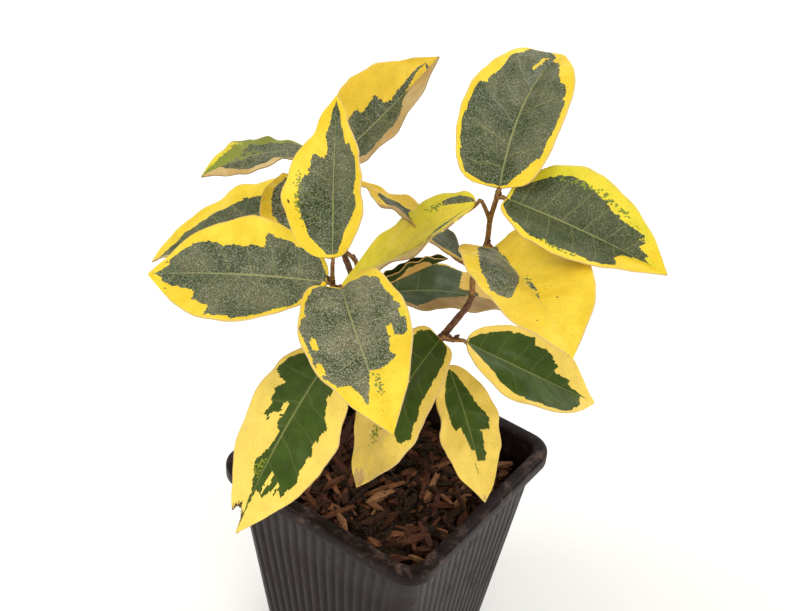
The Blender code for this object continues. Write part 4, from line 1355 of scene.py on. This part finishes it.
class ELAEAGNUS_OT_pot(bpy.types.Operator):
    """Model the ribbed nursery pot"""

    bl_idname = "elaeagnus.pot"
    bl_label = "Nursery pot"

    def execute(self, context):
        build_pot(context.scene.elaeagnus_pot)
        return {"FINISHED"}


class ELAEAGNUS_OT_mix(bpy.types.Operator):
    """Model the potting mix with its bark chips"""

    bl_idname = "elaeagnus.mix"
    bl_label = "Potting mix"

    def execute(self, context):
        build_mix(context.scene.elaeagnus_mix, context.scene.elaeagnus_pot)
        build_chips(context.scene.elaeagnus_mix)
        return {"FINISHED"}


class ELAEAGNUS_OT_limbs(bpy.types.Operator):
    """Model the stem and the boughs with bark in relief"""

    bl_idname = "elaeagnus.limbs"
    bl_label = "Stem and boughs"

    def execute(self, context):
        settings = context.scene.elaeagnus_bark
        for name, (path, radii) in limb_paths(settings.step).items():
            build_limb(name, path, radii, settings)
        return {"FINISHED"}


class ELAEAGNUS_OT_shoots(bpy.types.Operator):
    """Grow the shoots, petioles and buds of each mass of foliage"""

    bl_idname = "elaeagnus.shoots"
    bl_label = "Shoots and petioles"

    def execute(self, context):
        settings = context.scene.elaeagnus_bark
        limbs = limb_paths(settings.step)
        for name, mass in MASSES.items():
            build_shoots(name, mass, limbs[mass.host], settings)
        return {"FINISHED"}


class ELAEAGNUS_OT_leaves(bpy.types.Operator):
    """Grow the gold-margined leaves of each mass of foliage"""

    bl_idname = "elaeagnus.leaves"
    bl_label = "Leaves"

    def execute(self, context):
        for name, mass in MASSES.items():
            build_leaves(name, mass, context.scene.elaeagnus_leaves)
        return {"FINISHED"}


class ELAEAGNUS_OT_stage(bpy.types.Operator):
    """Set the floor, the lights and the camera"""

    bl_idname = "elaeagnus.stage"
    bl_label = "Stage"

    def execute(self, context):
        build_stage(context.scene.elaeagnus_stage)
        return {"FINISHED"}


SETTINGS = {
    "elaeagnus_pot": PotSettings,
    "elaeagnus_mix": MixSettings,
    "elaeagnus_bark": BarkSettings,
    "elaeagnus_leaves": LeafSettings,
    "elaeagnus_stage": StageSettings,
}
OPERATORS = (ELAEAGNUS_OT_pot, ELAEAGNUS_OT_mix, ELAEAGNUS_OT_limbs, ELAEAGNUS_OT_shoots, ELAEAGNUS_OT_leaves,
             ELAEAGNUS_OT_stage)


class ELAEAGNUS_PT_panel(bpy.types.Panel):
    """Lists the pieces and their settings"""

    bl_label = "Potted elaeagnus"
    bl_space_type = "VIEW_3D"
    bl_region_type = "UI"
    bl_category = "Elaeagnus"

    def draw(self, context):
        for operator in OPERATORS:
            self.layout.operator(operator.bl_idname)
        for name, group in SETTINGS.items():
            box = self.layout.box()
            box.label(text=name.replace("elaeagnus_", "").capitalize())
            for prop in group.__annotations__:
                box.prop(getattr(context.scene, name), prop)


def register():
    for name, group in SETTINGS.items():
        bpy.utils.register_class(group)
        setattr(bpy.types.Scene, name, PointerProperty(type=group))
    for cls in (*OPERATORS, ELAEAGNUS_PT_panel):
        bpy.utils.register_class(cls)


def unregister():
    for cls in (ELAEAGNUS_PT_panel, *reversed(OPERATORS)):
        bpy.utils.unregister_class(cls)
    for name, group in SETTINGS.items():
        delattr(bpy.types.Scene, name)
        bpy.utils.unregister_class(group)


def main():
    register()
    bpy.ops.elaeagnus.stage()
    bpy.ops.elaeagnus.pot()
    bpy.ops.elaeagnus.mix()
    bpy.ops.elaeagnus.limbs()
    bpy.ops.elaeagnus.shoots()
    bpy.ops.elaeagnus.leaves()


if __name__ == "__main__":
    main()
